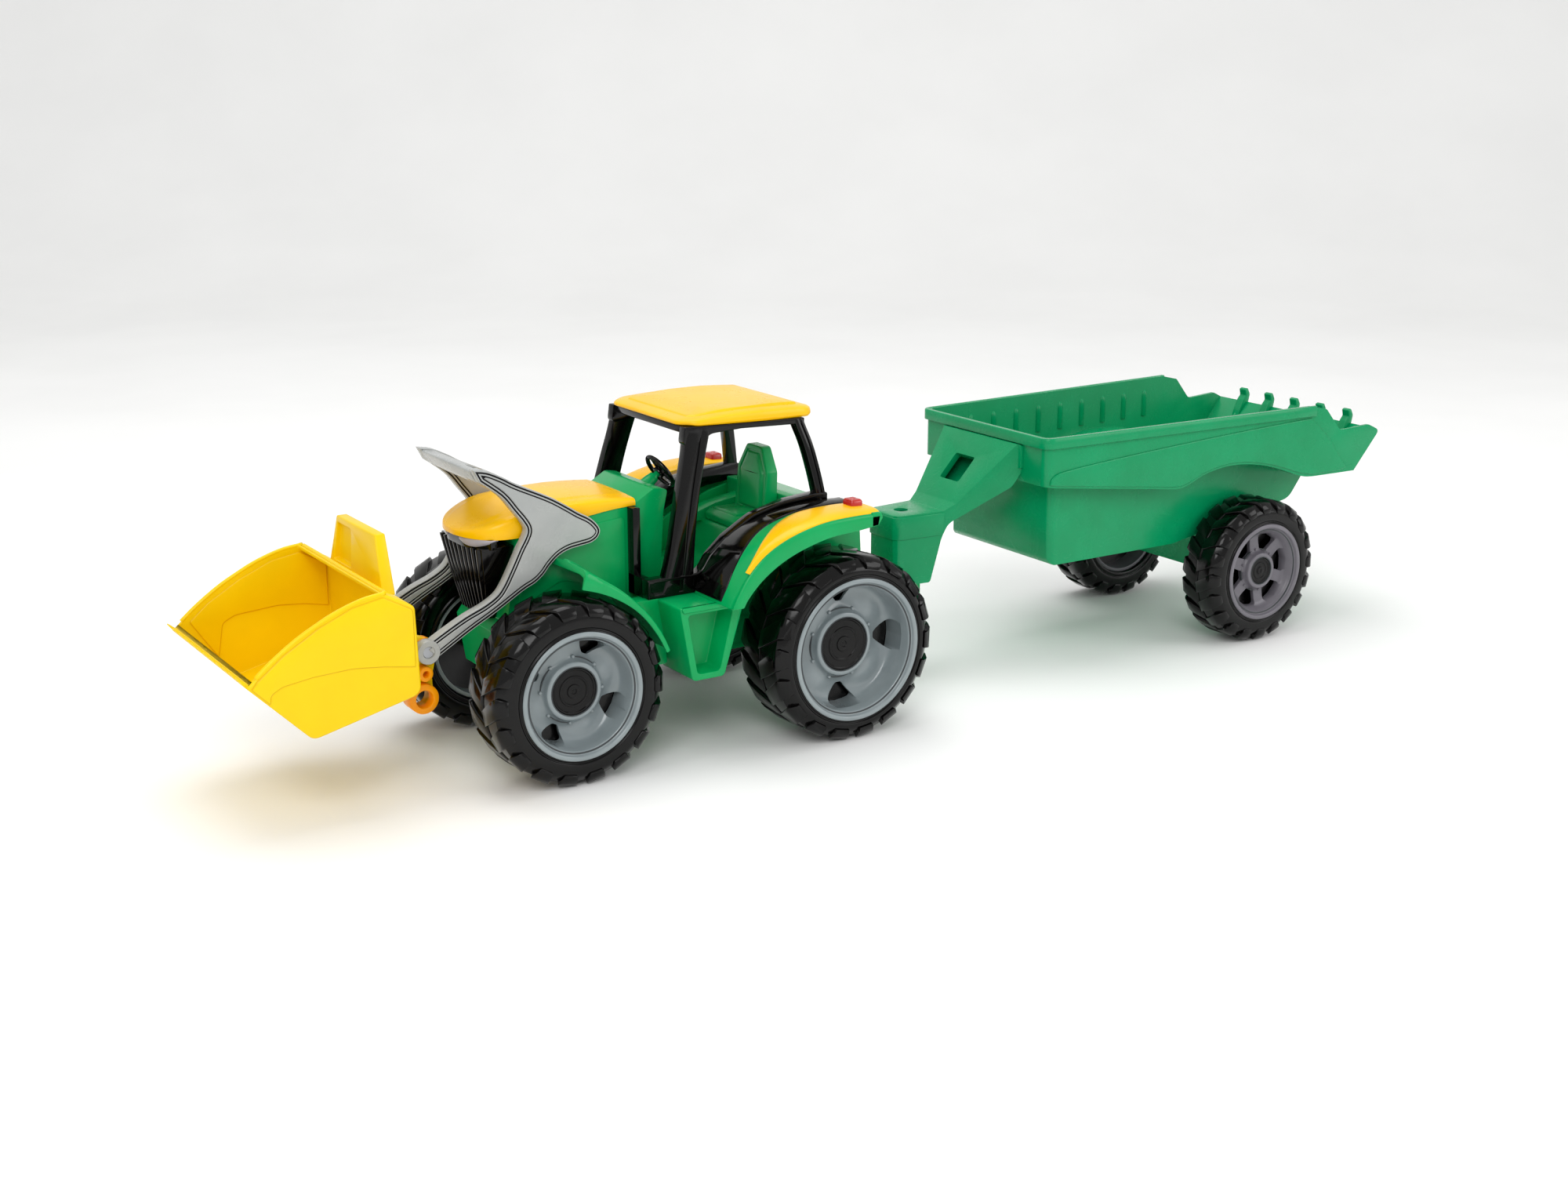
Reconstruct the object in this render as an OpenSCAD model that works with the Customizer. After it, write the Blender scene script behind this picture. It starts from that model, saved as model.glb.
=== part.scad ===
// Toy tractor with a front loader and a two-wheel trailer coupled behind it.
// X points forward (towards the bucket), Y to the tractor's left, Z up.
// The working frame has its zero on the ground under the rear axle; place()
// moves it so that the middle of the whole set is the origin.

/* [Tractor wheels] */
// Distance between the tractor's axles
wheelbase = 224; // [222:1:227]
// Rolling radius of a rear wheel
rear_r = 73.5; // [71:0.5:75]
// Width of a rear tyre
rear_w = 58; // [52:1:58]
// Rolling radius of a front wheel
front_r = 69.5; // [67:0.5:70]
// Width of a front tyre
front_w = 52; // [46:1:52]
// Y of the outer face of a rear tyre
rear_out = 130; // [130:1:136]
// Y of the outer face of a front tyre
front_out = 105; // [105:1:110]
// Radius of the tractor's axles
axle_r = 2.5; // [2:0.25:3]

/* [Trailer] */
// Distance from the rear axle back to the trailer axle
trailer_axle_x = 457; // [452:1:462]
// Rolling radius of a trailer wheel
trailer_r = 64.5; // [62:0.5:65]
// Width of a trailer tyre
trailer_w = 42; // [36:1:42]
// Y of the outer face of a trailer tyre
trailer_out = 112; // [112:1:116]
// Distance from the rear axle back to the hitch pin
hitch_x = 135; // [134:1:136]
// Radius of the hitch pin
hitch_r = 6; // [5:0.5:6.5]
// Height of the trailer's rim above the ground
trailer_top = 206; // [204:1:210]

/* [Loader] */
// Half of the bucket's width
bucket_half = 82; // [72:1:90]
// Number of teeth on the bucket's cutting edge
bucket_teeth = 12; // [8:1:14]
// Radius of the pins that the loader turns on
lift_pin_r = 5; // [4:0.5:5.5]
// Radius of the rod that the bucket turns on
bucket_pin_r = 4; // [3:0.5:4.5]

/* [Body] */
// Half of the hood's width
hood_half = 40; // [39:0.5:41]
// Wall thickness of the moulded shells
wall = 3; // [2.5:0.5:3.5]
// Number of tread lugs on each side of a tractor tyre
lugs = 18; // [14:1:20]

/* [Hidden] */
$fn = 64;
run = 0.08;                    // radial clearance of everything that turns on a shaft
x_shift = 69.75;                 // middle of the whole set
lift_x = 192; lift_z = 178;    // loader pivot
tilt_x = 319; tilt_z = 105;    // bucket pivot
green = "#009a4e"; green2 = "#18a468"; yellow = "#ffc81a"; yellow2 = "#ffdc10";
black = "#151515"; grey = "#8d9698"; silver = "#b4b6b0"; dark = "#45413f";

// ---------- helpers ----------
module place() translate([x_shift, 0, 0]) children();
// a side outline (X, Z) extruded from y0 to y1
module side(p, y0, y1) translate([0, y1, 0]) rotate([90, 0, 0]) linear_extrude(y1 - y0) polygon(p);
// a plan outline (X, Y) extruded from z0 to z1
module plan(p, z0, z1) translate([0, 0, z0]) linear_extrude(z1 - z0) polygon(p);
// a front outline (Y, Z) extruded from x0 to x1
module front(p, x0, x1) translate([x0, 0, 0]) rotate([90, 0, 90]) linear_extrude(x1 - x0) polygon(p);
// a cylinder across the tractor
module across(r, x, z, y0, y1) translate([x, y1, z]) rotate([90, 0, 0]) cylinder(h = y1 - y0, r = r);
module flip(s) mirror([0, s < 0 ? 1 : 0, 0]) children();
module both() { children(); mirror([0, 1, 0]) children(); }
// puts a wheel part, drawn round Z with its outer face up, on an axle at x, z
module on_axle(x, yc, z, s) translate([x, s * yc, z]) flip(s) rotate([-90, 0, 0]) children();

// ---------- wheels ----------
// hollow moulded tyre with chevron lugs; bore radius rb
module tyre(r, w, rb, n, lug, slant) {
  h = w / 2;
  difference() {
    union() {
      rotate_extrude() polygon([[rb, -h + 3], [rb + 3, -h], [r - 9, -h], [r - lug, -h + 7],
        [r - lug, h - 7], [r - 9, h], [rb + 3, h], [rb, h - 3]]);
      intersection() {
        rotate_extrude() polygon([[r - lug - 1, -h + 2], [r - 2, -h + 3], [r, -h + 6], [r, h - 6], [r - 2, h - 3], [r - lug - 1, h - 2]]);
        union() for (i = [0 : n - 1]) for (s = [-1, 1])
          rotate([0, 0, (i + (s > 0 ? 0.5 : 0)) * 360 / n]) translate([r - 1, 0, s * h * 0.52])
            rotate([s * slant, 0, 0]) cube([lug * 3, PI * r / n * 0.95, h * 1.2], center = true);
      }
    }
    rotate_extrude() polygon([[rb - 1, -h + 6], [r - lug - 8, -h + 6], [r - lug - 4, -h + 10],
      [r - lug - 4, h - 10], [r - lug - 8, h - 6], [rb - 1, h - 6]]);
  }
}
// moulded rim: barrel, lip, dished disc at height s0, long hub on the axle, ring for the hub cap
module rim(w, rb, s0, ra, rc, n, win, turn) {
  h = w / 2;
  difference() {
    rotate_extrude() polygon([[ra + run, -h + 1], [9, -h + 1], [9, s0 - 6], [rb - 9, s0 - 4], [rb - 3, s0 - 9],
      [rb - 3, -h + 3], [rb, -h + 3], [rb, h - 1], [rb + 2.5, h], [rb + 2.5, h + 1.5], [rb - 3, h + 1.5],
      [rb - 3, s0 + 6], [rb - 8, s0], [rc + 4, s0], [rc + 4, s0 + 7], [rc, s0 + 7], [rc, s0], [8, s0],
      [8, s0 + 1], [ra + run, s0 + 1]]);
    for (i = [0 : n - 1]) rotate([0, 0, i * 360 / n + turn]) translate([0, 0, s0 - 20]) linear_extrude(40) polygon(win);
  }
}
// cap that snaps into the ring on the rim, over the axle's end
module hubcap(s0, rc) rotate_extrude() polygon([[0, s0 + 4.6], [rc - 2, s0 + 4.6], [rc - 2, s0 + 0.3], [rc, s0 + 0.3], [rc, s0 + 6.6], [rc - 2, s0 + 6.6], [rc - 3, s0 + 5.8], [0, s0 + 5.8]]);
// steel axle with a pressed-on head at each end; e is the head's inner face
module axle(x, z, ra, e) {
  across(ra, x, z, -e, e);
  both() across(ra + 2.5, x, z, e, e + 2.5);
}

win_r = [[33, -3], [33, 3], [47, 14], [49, 0], [47, -14]];
win_f = [[28.5, -3], [28.5, 3], [38.5, 11.5], [40.5, 0], [38.5, -11.5]];
win6 = [[20, -3], [20, 3], [25, 6.5], [32, 6], [35, 0], [32, -6], [25, -6.5]];
r_yc = rear_out - rear_w / 2; f_yc = front_out - front_w / 2; t_yc = trailer_out - trailer_w / 2;
r_s0 = 4; f_s0 = 5; t_s0 = 10;

module rear_tyre(s) color(black) place() on_axle(0, r_yc, rear_r, s) tyre(rear_r, rear_w, 54, lugs, 4.5, 32);
module rear_rim(s) color(grey) place() on_axle(0, r_yc, rear_r, s) rim(rear_w, 54, r_s0, axle_r, 21, 4, win_r, 0);
module rear_cap(s) color(dark) place() on_axle(0, r_yc, rear_r, s) hubcap(r_s0, 21);
module front_tyre(s) color(black) place() on_axle(wheelbase, f_yc, front_r, s) tyre(front_r, front_w, 46, lugs, 4.5, 32);
module front_rim(s) color(grey) place() on_axle(wheelbase, f_yc, front_r, s) rim(front_w, 46, f_s0, axle_r, 18, 4, win_f, -27);
module front_cap(s) color(dark) place() on_axle(wheelbase, f_yc, front_r, s) hubcap(f_s0, 18);
module trailer_tyre(s) color(black) place() on_axle(-trailer_axle_x, t_yc, trailer_r, s) tyre(trailer_r, trailer_w, 41, 20, 3, 28);
module trailer_rim(s) color("#6c696e") place() on_axle(-trailer_axle_x, t_yc, trailer_r, s) rim(trailer_w, 41, t_s0, axle_r, 12, 6, win6, 10);
module trailer_cap(s) color(dark) place() on_axle(-trailer_axle_x, t_yc, trailer_r, s) hubcap(t_s0, 12);

module front_left_tyre() front_tyre(1);    module front_right_tyre() front_tyre(-1);
module front_left_rim() front_rim(1);      module front_right_rim() front_rim(-1);
module front_left_hubcap() front_cap(1);   module front_right_hubcap() front_cap(-1);
module rear_left_tyre() rear_tyre(1);      module rear_right_tyre() rear_tyre(-1);
module rear_left_rim() rear_rim(1);        module rear_right_rim() rear_rim(-1);
module rear_left_hubcap() rear_cap(1);     module rear_right_hubcap() rear_cap(-1);
module trailer_left_tyre() trailer_tyre(1);    module trailer_right_tyre() trailer_tyre(-1);
module trailer_left_rim() trailer_rim(1);      module trailer_right_rim() trailer_rim(-1);
module trailer_left_hubcap() trailer_cap(1);   module trailer_right_hubcap() trailer_cap(-1);

module front_axle() color("silver") place() axle(wheelbase, front_r, axle_r, f_yc + f_s0 + 1.4);
module rear_axle() color("silver") place() axle(0, rear_r, axle_r, r_yc + r_s0 + 1.4);
module trailer_axle() color("silver") place() axle(-trailer_axle_x, trailer_r, axle_r, t_yc + t_s0 + 1.4);

// ---------- chassis ----------
screw_at = [[126, 24], [126, -24], [74, 24], [74, -24]];
// channel open below, with a tube for each axle
module chassis_frame() color(green) place() difference() {
  union() {
    difference() {
      side([[-46, 60], [-60, 70], [-60, 112], [252, 112], [258, 104], [252, 66], [240, 58]], -37, 37);
      side([[-46, 50], [-46 - 11, 72], [-57, 109], [248, 109], [254, 102], [249, 68], [240, 50]], -34, 34);
    }
    across(8, 0, rear_r, -(r_yc - rear_w / 2 + 0.5), r_yc - rear_w / 2 + 0.5);
    across(8, wheelbase, front_r, -(f_yc - front_w / 2 + 0.5), f_yc - front_w / 2 + 0.5);
  }
  across(axle_r, 0, rear_r, -100, 100);
  across(axle_r, wheelbase, front_r, -100, 100);
  for (p = screw_at) translate([p[0], p[1], 100]) cylinder(h = 20, r = 1.6);
}
module chassis_screws() color("silver") place() for (p = screw_at) translate([p[0], p[1], 0]) {
  translate([0, 0, 106.5]) cylinder(h = 2.5, r = 3.4);
  translate([0, 0, 108.9]) cylinder(h = 9.1, r = 1.6);
}
// step box beside the cab, with a pocket in its outer face
module footstep(s) color(green) place() flip(s) difference() {
  union() {
    side([[142, 122], [86, 122], [88, 114], [104, 64], [132, 64]], 58, 104);
    side([[163, 122], [140, 122], [134, 70], [144, 70], [145, 90], [154, 109]], 58, 70);
    side([[146, 112], [90, 112], [104, 70], [146, 70]], 37, 58);
  }
  side([[135, 116], [96, 116], [108, 69], [127, 69]], 86, 105);
  side([[142, 108], [100, 108], [110, 74], [142, 74]], 40, 55);
}
module footstep_left() footstep(1);
module footstep_right() footstep(-1);

// ---------- hood ----------
fender_f = [[236, 169], [216, 161], [199, 151], [173, 131], [155, 109], [146, 90],
  [150, 88], [158, 106], [175, 127], [198, 141], [222, 147], [238, 151]];
module hood_body() color(green) place() difference() {
  union() {
    difference() {
      side([[143, 112], [143, 189], [182, 186], [216, 177.5], [240, 176.5], [252, 112]], -hood_half, hood_half);
      side([[146, 111], [146, 200], [236, 200], [236, 176], [247.5, 115], [247.5, 111]], -hood_half + wall, hood_half - wall);
    }
    both() side(fender_f, 55, 98);
    both() side([[190, 145], [173, 131], [155, 109], [146, 90], [150, 88], [158, 106], [175, 127], [190, 137]], hood_half - 0.5, 55.5);
  }
  across(lift_pin_r, lift_x, lift_z, -60, 60);
}
module hood_cap() color(yellow) place() difference() {
  intersection() {
    side([[143, 189], [182, 186], [216, 177.5], [240, 176.5], [270, 176.5], [277, 178], [277, 184], [260, 192],
      [234, 197], [195, 198], [160, 196], [143, 194]], -hood_half - 1, hood_half + 1);
    union() {
      translate([217, 0, 170]) cylinder(h = 40, r = 60, $fn = 96);
      translate([100, -hood_half - 1, 170]) cube([140, 2 * hood_half + 2, 40]);
    }
  }
  side([[150, 180], [180, 180], [182, 189.5], [150, 191]], -34, 34);
}
grille_side = [[241.7, 170], [252.4, 113], [260, 113], [271, 170]];
module grille() color(black) place() difference() {
  intersection() {
    side(grille_side, -38, 38);
    front([[-36, 170], [36, 170], [22, 113], [-22, 113]], 230, 280);
  }
  // slots between the ribs, leaning outwards towards the top
  intersection() {
    side([[268.5, 167], [259, 116], [290, 116], [290, 167]], -38, 38);
    union() for (i = [-4 : 4]) front([[i * 7 - 1.2, 168], [i * 7 + 1.2, 168], [i * 4.6 + 1.2, 114], [i * 4.6 - 1.2, 114]], 240, 285);
  }
}
module headlights() color(silver) place() both() intersection() {
  side([[241.7, 170], [271, 170], [273, 176.5], [240.5, 176.5]], 12, 37);
  union() { translate([217, 0, 165]) cylinder(h = 20, r = 58.5); translate([230, 0, 165]) cube([22, 37, 20]); }
}

// ---------- cab ----------
module cab_floor() color(green) place() difference() {
  union() {
    difference() {
      side([[143, 112], [143, 122], [52, 122], [45, 152], [3, 152], [2, 176], [-6, 176], [-51, 164], [-54, 112]], -58, 58);
      side([[140, 111], [140, 119], [49.5, 119], [42.5, 149], [0, 149], [-1, 172], [-48, 161], [-51, 111]], -55, 55);
    }
    for (p = screw_at) translate([p[0], p[1], 112]) cylinder(h = 8, r = 4);
  }
  for (p = screw_at) translate([p[0], p[1], 110]) cylinder(h = 8.3, r = 1.6);
}
sill = [[150, 122], [100, 122], [88, 132], [72, 148], [48, 161], [24, 169], [-12, 173],
  [-12, 185], [-2, 185.5], [28, 183], [57, 175.5], [81, 162], [96, 149], [104, 137], [150, 137]];
// black moulded cab: sills, four leaning posts and the ring under the roof
module cab_frame() color(black) place() {
  both() {
    side(sill, 61, 70.5);
    hull() {
      translate([110, 61, 130]) cube([24, 9.5, 1]);
      translate([86, 52, 243]) cube([22, 8, 1]);
    }
    hull() {
      translate([-12, 61, 174]) cube([10, 9.5, 1]);
      translate([3, 52, 241]) cube([9, 8, 1]);
    }
    translate([144, hood_half + 0.5, 122]) cube([6, 61 - hood_half, 15]);
    translate([144, hood_half + 0.5, 136]) cube([6, 9, 52.2]);
    side([[3, 240], [108, 243], [108, 247.45], [3, 243.95]], 52, 60);
  }
  side([[98, 242.7], [108, 243], [108, 247.45], [98, 247.1]], -53, 53);
  side([[3, 240], [12, 240.3], [12, 244.2], [3, 243.95]], -53, 53);
}
module cab_roof() color(yellow) place() intersection() {
  side([[-10, 243.56], [112, 247.63], [112, 253], [104, 255.5], [40, 256], [-6, 252.5], [-10, 250]], -62, 62);
  plan([[-10, -50], [-10, 50], [-2, 58], [40, 61], [100, 61], [112, 50], [112, -50], [100, -61], [40, -61], [-2, -58]], 230, 270);
}
module seat() color(green) place() intersection() {
  union() {
    side([[5, 152], [44, 152], [44, 158], [40, 161], [17, 161], [13, 200], [8, 213], [3, 213], [4.5, 190]], -22, 22);
  }
  front([[-22, 151], [22, 151], [22, 196], [11, 214], [-11, 214], [-22, 196]], 0, 60);
}
st = [98, 0, 202]; st_tilt = -56;    // steering wheel centre and the lean of its column
module dashboard() color(green) place() {
  side([[143, 122], [143, 189], [126, 199], [114, 197], [118, 180], [122, 122]], -39, 39);
  // column stub that the steering wheel turns on
  intersection() {
    translate(st) rotate([0, st_tilt, 0]) translate([0, 0, -24]) cylinder(h = 20, r = 5);
    translate([60, -20, 150]) cube([57, 40, 80]);
  }
  translate(st) rotate([0, st_tilt, 0]) translate([0, 0, -5]) cylinder(h = 6, r = 2.5);
}
module steering_wheel() color(black) place() translate(st) rotate([0, st_tilt, 0]) difference() {
  union() {
    rotate_extrude() translate([14, 0]) circle(r = 1.8, $fn = 24);
    for (i = [0 : 2]) rotate([0, 0, i * 120]) translate([2, -1.3, -1.3]) cube([12, 2.6, 2.6]);
    translate([0, 0, -3]) cylinder(h = 6, r = 5);
  }
  translate([0, 0, -4]) cylinder(h = 5.3, r = 2.5 + run);
}

// ---------- rear fenders ----------
fender_r = [[111, 122], [106, 132], [96, 147], [80, 161], [58, 171], [30, 178], [0, 179], [-22, 179],
  [-20, 169], [0, 167], [32, 164], [60, 155], [84, 140], [99, 125], [101, 122]];
module rear_fender(s) color(green) place() flip(s) difference() {
  union() {
    side(fender_r, 71, 128);
    side([[-22, 150], [-22, 178], [10, 178], [30, 176], [60, 168], [84, 154], [96, 122], [90, 122], [70, 140], [40, 152], [10, 156]], 71, 74);
  }
}
module rear_fender_left() rear_fender(1);
module rear_fender_right() rear_fender(-1);
module fender_trim(s) color(yellow) place() flip(s)
  intersection() {
    side([[96, 147], [80, 161], [58, 171], [30, 178], [0, 179], [-20, 179], [-19, 181.5], [0, 181.5], [31, 180.5], [59, 173.5], [82, 163], [99, 148.5]], 84, 126);
    plan([[100, 100], [100, 104], [60, 126], [-30, 126], [-30, 84], [60, 84]], 100, 200);
  }
module fender_trim_left() fender_trim(1);
module fender_trim_right() fender_trim(-1);
module tail_lamps() color("#c02818") place() both() translate([-18, 96, 181.5]) cube([13, 15, 6]);

// ---------- loader ----------
arm = [[279, 233], [268, 231], [245, 219], [220, 207], [196, 192], [183, 184], [178, 176], [183, 168], [196, 166],
  [212, 162], [222, 155], [228, 144], [243, 139.5], [265, 126], [286, 115], [316, 97], [326, 108], [290, 127],
  [263, 138], [255, 152], [245, 171], [236, 184], [258, 211], [274, 223]];
module loader_arm(s) color(silver) place() flip(s) difference() {
  union() {
    side(arm, 43, 51);
    across(8.5, tilt_x, tilt_z, 43, 51);
  }
  across(lift_pin_r + run, lift_x, lift_z, 40, 49);
  across(bucket_pin_r, tilt_x, tilt_z, 40, 60);
}
module loader_arm_left() loader_arm(1);
module loader_arm_right() loader_arm(-1);
// grip between the tops of the arms
module loader_handle() color(silver) place() difference() {
  side([[279, 232], [268, 230.5], [250, 221], [247, 214], [258, 213], [274, 223]], -43, 43);
  side([[271, 240], [264, 240], [264, 200], [271, 200]], 20, 34);
}
// stub pins that the arms snap over
module loader_pivot_pins() color(grey) place() both() across(lift_pin_r, lift_x, lift_z, hood_half - wall, 48.6);
module bucket_pin() color("silver") place() across(bucket_pin_r, tilt_x, tilt_z, -51, 51);
b_out = [[462, 112], [418, 67], [338, 86], [340, 150], [363, 163]];
b_end = [[462, 112], [418, 67], [338, 86], [340, 150], [363, 163], [386, 158.5], [411, 148], [436, 133], [455, 118]];
module bucket() color(yellow2) place() difference() {
  union() {
    difference() {
      side(b_end, -bucket_half, bucket_half);
      side([[470, 124], [462, 116], [417, 70.5], [341, 88.5], [343, 148], [363.5, 159.5], [364, 170], [400, 180]], -bucket_half + wall, bucket_half - wall);
      side([[365, 163.6], [386, 180], [480, 140], [462, 116], [455, 109]], -bucket_half + wall, bucket_half - wall);
    }
    // teeth on the cutting edge
    for (i = [0 : bucket_teeth - 1]) {
      p = 2 * bucket_half / bucket_teeth;
      side([[458, 107.9], [462, 112], [466.5, 116.5], [463.5, 116.5], [456, 109]], -bucket_half + (i + 0.2) * p, -bucket_half + (i + 0.75) * p);
    }
    // spill guard standing on the top panel
    intersection() {
      side([[344, 152], [350, 155.5], [349, 190], [345, 193], [341, 190], [341, 150.5]], -52, 52);
      front([[-50, 150], [50, 150], [36, 193], [-36, 193]], 330, 360);
    }
    // lugs with the hinge holes and the round bosses below them
    both() {
      side([[338.5, 116], [322, 115], [310, 110], [310, 98], [314, 84], [313, 66], [322, 59], [338.5, 86]], 34, 42);
      across(5.5, 321, 88.5, 34, 50);
      across(11, 323, 70, 34, 50);
    }
  }
  both() across(6.5, 323, 70, 30, 54);
  both() across(bucket_pin_r + run, tilt_x, tilt_z, 30, 46);
  // recess in the guard
  side([[346.5, 160], [352, 160], [352, 186], [346.5, 186]], -30, 30);
}

// ---------- hitch ----------
module hitch_bracket() color(green) place() difference() {
  union() {
    side([[-60, 66], [-60, 100], [-72, 100], [-92, 78], [-hitch_x - 14, 78], [-hitch_x - 14, 68], [-80, 66]], -11, 11);
    translate([-hitch_x, 0, 77]) cylinder(h = 3, r = 10);
  }
  translate([-hitch_x, 0, 60]) cylinder(h = 30, r = hitch_r);
}
module hitch_pin() color(black) place() translate([-hitch_x, 0, 66]) {
  cylinder(h = 70, r = hitch_r);
  translate([0, 0, -0.9]) cylinder(h = 2.9, r = hitch_r);
}

// ---------- trailer ----------
tw_f = 84; tw_r = 102;      // half widths of the tub at the front and at the tail
tub_plan = [[-222, -tw_f + 6], [-227, -tw_f], [-610, -tw_r], [-610, tw_r], [-227, tw_f], [-222, tw_f - 6]];
tub_up = [[-222, trailer_top], [-222, 165], [-371, 147], [-394, 157], [-422, 161], [-460, 159], [-500, 146], [-516, 141],
  [-577, 141], [-606, 176], [-592, 182], [-556, 180], [-537, 201], [-519, trailer_top]];
tub_low = [[-240, 170], [-242, 96], [-247, 91], [-385, 91], [-529, 115], [-545, 136], [-545, 150], [-500, 170]];
module trailer_tub() color(green2) place() union() {
  tub_shell();
  // hooked prongs along the tail edge
  for (y = [-66, -33, 0, 33, 66]) side([[-590, 159], [-603, 175], [-606, 186], [-601, 191], [-597, 184], [-594, 172]], y - 4, y + 4);
}
module tub_shell() difference() {
  union() {
    intersection() { side(tub_up, -110, 110); plan(tub_plan, 100, 230); }
    side(tub_low, -68, 68);
    // rim that stands out round the top
    intersection() {
      side([[-219, trailer_top], [-219, trailer_top - 9], [-524, trailer_top - 9], [-519, trailer_top]], -112, 112);
      plan([[-218, -tw_f + 4], [-222, -tw_f - 2], [-530, -tw_r + 2], [-530, tw_r - 2], [-222, tw_f + 2], [-218, tw_f - 4]], 150, 230);
    }
  }
  // upper part of the bed, between the side walls
  intersection() {
    side([[-227, 240], [-227.5, 168], [-374, 151], [-392, 160], [-421, 165], [-460, 163], [-502, 150], [-516, 145],
      [-575, 145], [-604, 179], [-640, 190], [-640, 240]], -110, 110);
    plan([[-224, -tw_f + 3.5], [-640, -tw_r + 2.2], [-640, tw_r - 2.2], [-224, tw_f - 3.5]], 100, 250);
  }
  // lower part of the bed
  side([[-243, 180], [-245, 97], [-248, 94], [-384, 94], [-527, 118], [-545, 144], [-545, 180]], -65, 65);
  both() translate([-240, 36, 187]) rotate([0, 90, 0]) cylinder(h = 30, r = 1.6);
}
db_side = [[-115, 141], [-162, 141], [-172, 147], [-218, 196.5], [-222, 196.5], [-222, 172], [-215, 160], [-166, 130], [-160, 116], [-150, 80.3], [-116, 80.3]];
db_in = [[-170, 136.5], [-176.5, 143.5], [-219, 189.5], [-219, 174.5], [-212.5, 163]];
module trailer_drawbar() color(green2) place() difference() {
  union() {
    difference() {
      intersection() {
        side(db_side, -60, 60);
        plan([[-115, -16], [-119, -20], [-162, -24], [-222, -52], [-222, 52], [-162, 24], [-119, 20], [-115, 16]], 70, 230);
      }
      intersection() {
        side(db_in, -60, 60);
        plan([[-160, -20.5], [-224, -48.5], [-224, 48.5], [-160, 20.5]], 70, 230);
      }
    }
    both() translate([-222, 36, 187]) rotate([0, 90, 0]) cylinder(h = 8.5, r = 4.5);
  }
  // drop-over bore for the hitch pin
  translate([-hitch_x, 0, 70]) cylinder(h = 80, r = hitch_r + run);
  // square window in the sloping face
  translate([-194, 0, 171]) rotate([0, 47, 0]) cube([26, 26, 24], center = true);
  both() translate([-230, 36, 187]) rotate([0, 90, 0]) cylinder(h = 14.5, r = 1.6);
}
module trailer_screws() color("silver") place() both() {
  translate([-229.5, 36, 187]) rotate([0, 90, 0]) cylinder(h = 2.1, r = 3.4);
  translate([-228, 36, 187]) rotate([0, 90, 0]) cylinder(h = 12, r = 1.6);
}
// saddle under the tub that carries the axle
module trailer_underframe() color(green2) place() difference() {
  union() {
    side([[-trailer_axle_x + 30, 98], [-trailer_axle_x + 12, 54], [-trailer_axle_x - 12, 54], [-trailer_axle_x - 30, 107.9]], -56, 56);
    across(9, -trailer_axle_x, trailer_r, -(t_yc - trailer_w / 2 + 0.5), t_yc - trailer_w / 2 + 0.5);
  }
  side([[-trailer_axle_x + 26, 120], [-trailer_axle_x + 9, 76], [-trailer_axle_x - 9, 76], [-trailer_axle_x - 26, 120]], -53, 53);
  across(axle_r, -trailer_axle_x, trailer_r, -100, 100);
}

chassis_frame();
footstep_left();
footstep_right();
hood_body();
hood_cap();
grille();
headlights();
cab_floor();
cab_frame();
cab_roof();
seat();
dashboard();
steering_wheel();
rear_fender_left();
rear_fender_right();
fender_trim_left();
fender_trim_right();
tail_lamps();
front_axle();
rear_axle();
loader_pivot_pins();
hitch_bracket();
hitch_pin();
chassis_screws();
front_left_tyre();
front_left_rim();
front_left_hubcap();
front_right_tyre();
front_right_rim();
front_right_hubcap();
rear_left_tyre();
rear_left_rim();
rear_left_hubcap();
rear_right_tyre();
rear_right_rim();
rear_right_hubcap();
loader_arm_left();
loader_arm_right();
loader_handle();
bucket_pin();
bucket();
trailer_tub();
trailer_drawbar();
trailer_underframe();
trailer_axle();
trailer_screws();
trailer_left_tyre();
trailer_left_rim();
trailer_left_hubcap();
trailer_right_tyre();
trailer_right_rim();
trailer_right_hubcap();
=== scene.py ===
import bpy
import bmesh
import math
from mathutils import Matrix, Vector


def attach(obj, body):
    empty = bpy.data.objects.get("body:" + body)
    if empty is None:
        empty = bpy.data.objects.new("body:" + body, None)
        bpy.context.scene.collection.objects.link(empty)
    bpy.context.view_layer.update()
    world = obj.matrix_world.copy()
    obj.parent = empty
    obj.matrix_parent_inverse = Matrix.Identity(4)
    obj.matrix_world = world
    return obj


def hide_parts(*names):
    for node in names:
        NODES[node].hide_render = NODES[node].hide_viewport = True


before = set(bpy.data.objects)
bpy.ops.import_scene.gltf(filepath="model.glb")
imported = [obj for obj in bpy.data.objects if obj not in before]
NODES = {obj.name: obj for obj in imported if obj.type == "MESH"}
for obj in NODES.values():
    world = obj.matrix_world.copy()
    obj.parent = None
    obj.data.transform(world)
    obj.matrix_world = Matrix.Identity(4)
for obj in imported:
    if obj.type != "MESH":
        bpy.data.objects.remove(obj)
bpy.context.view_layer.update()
SHIFT = 69.75  # mm: design X to row X

# ------------------------------------------------------------------ small geometry kit (millimetres)


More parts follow.
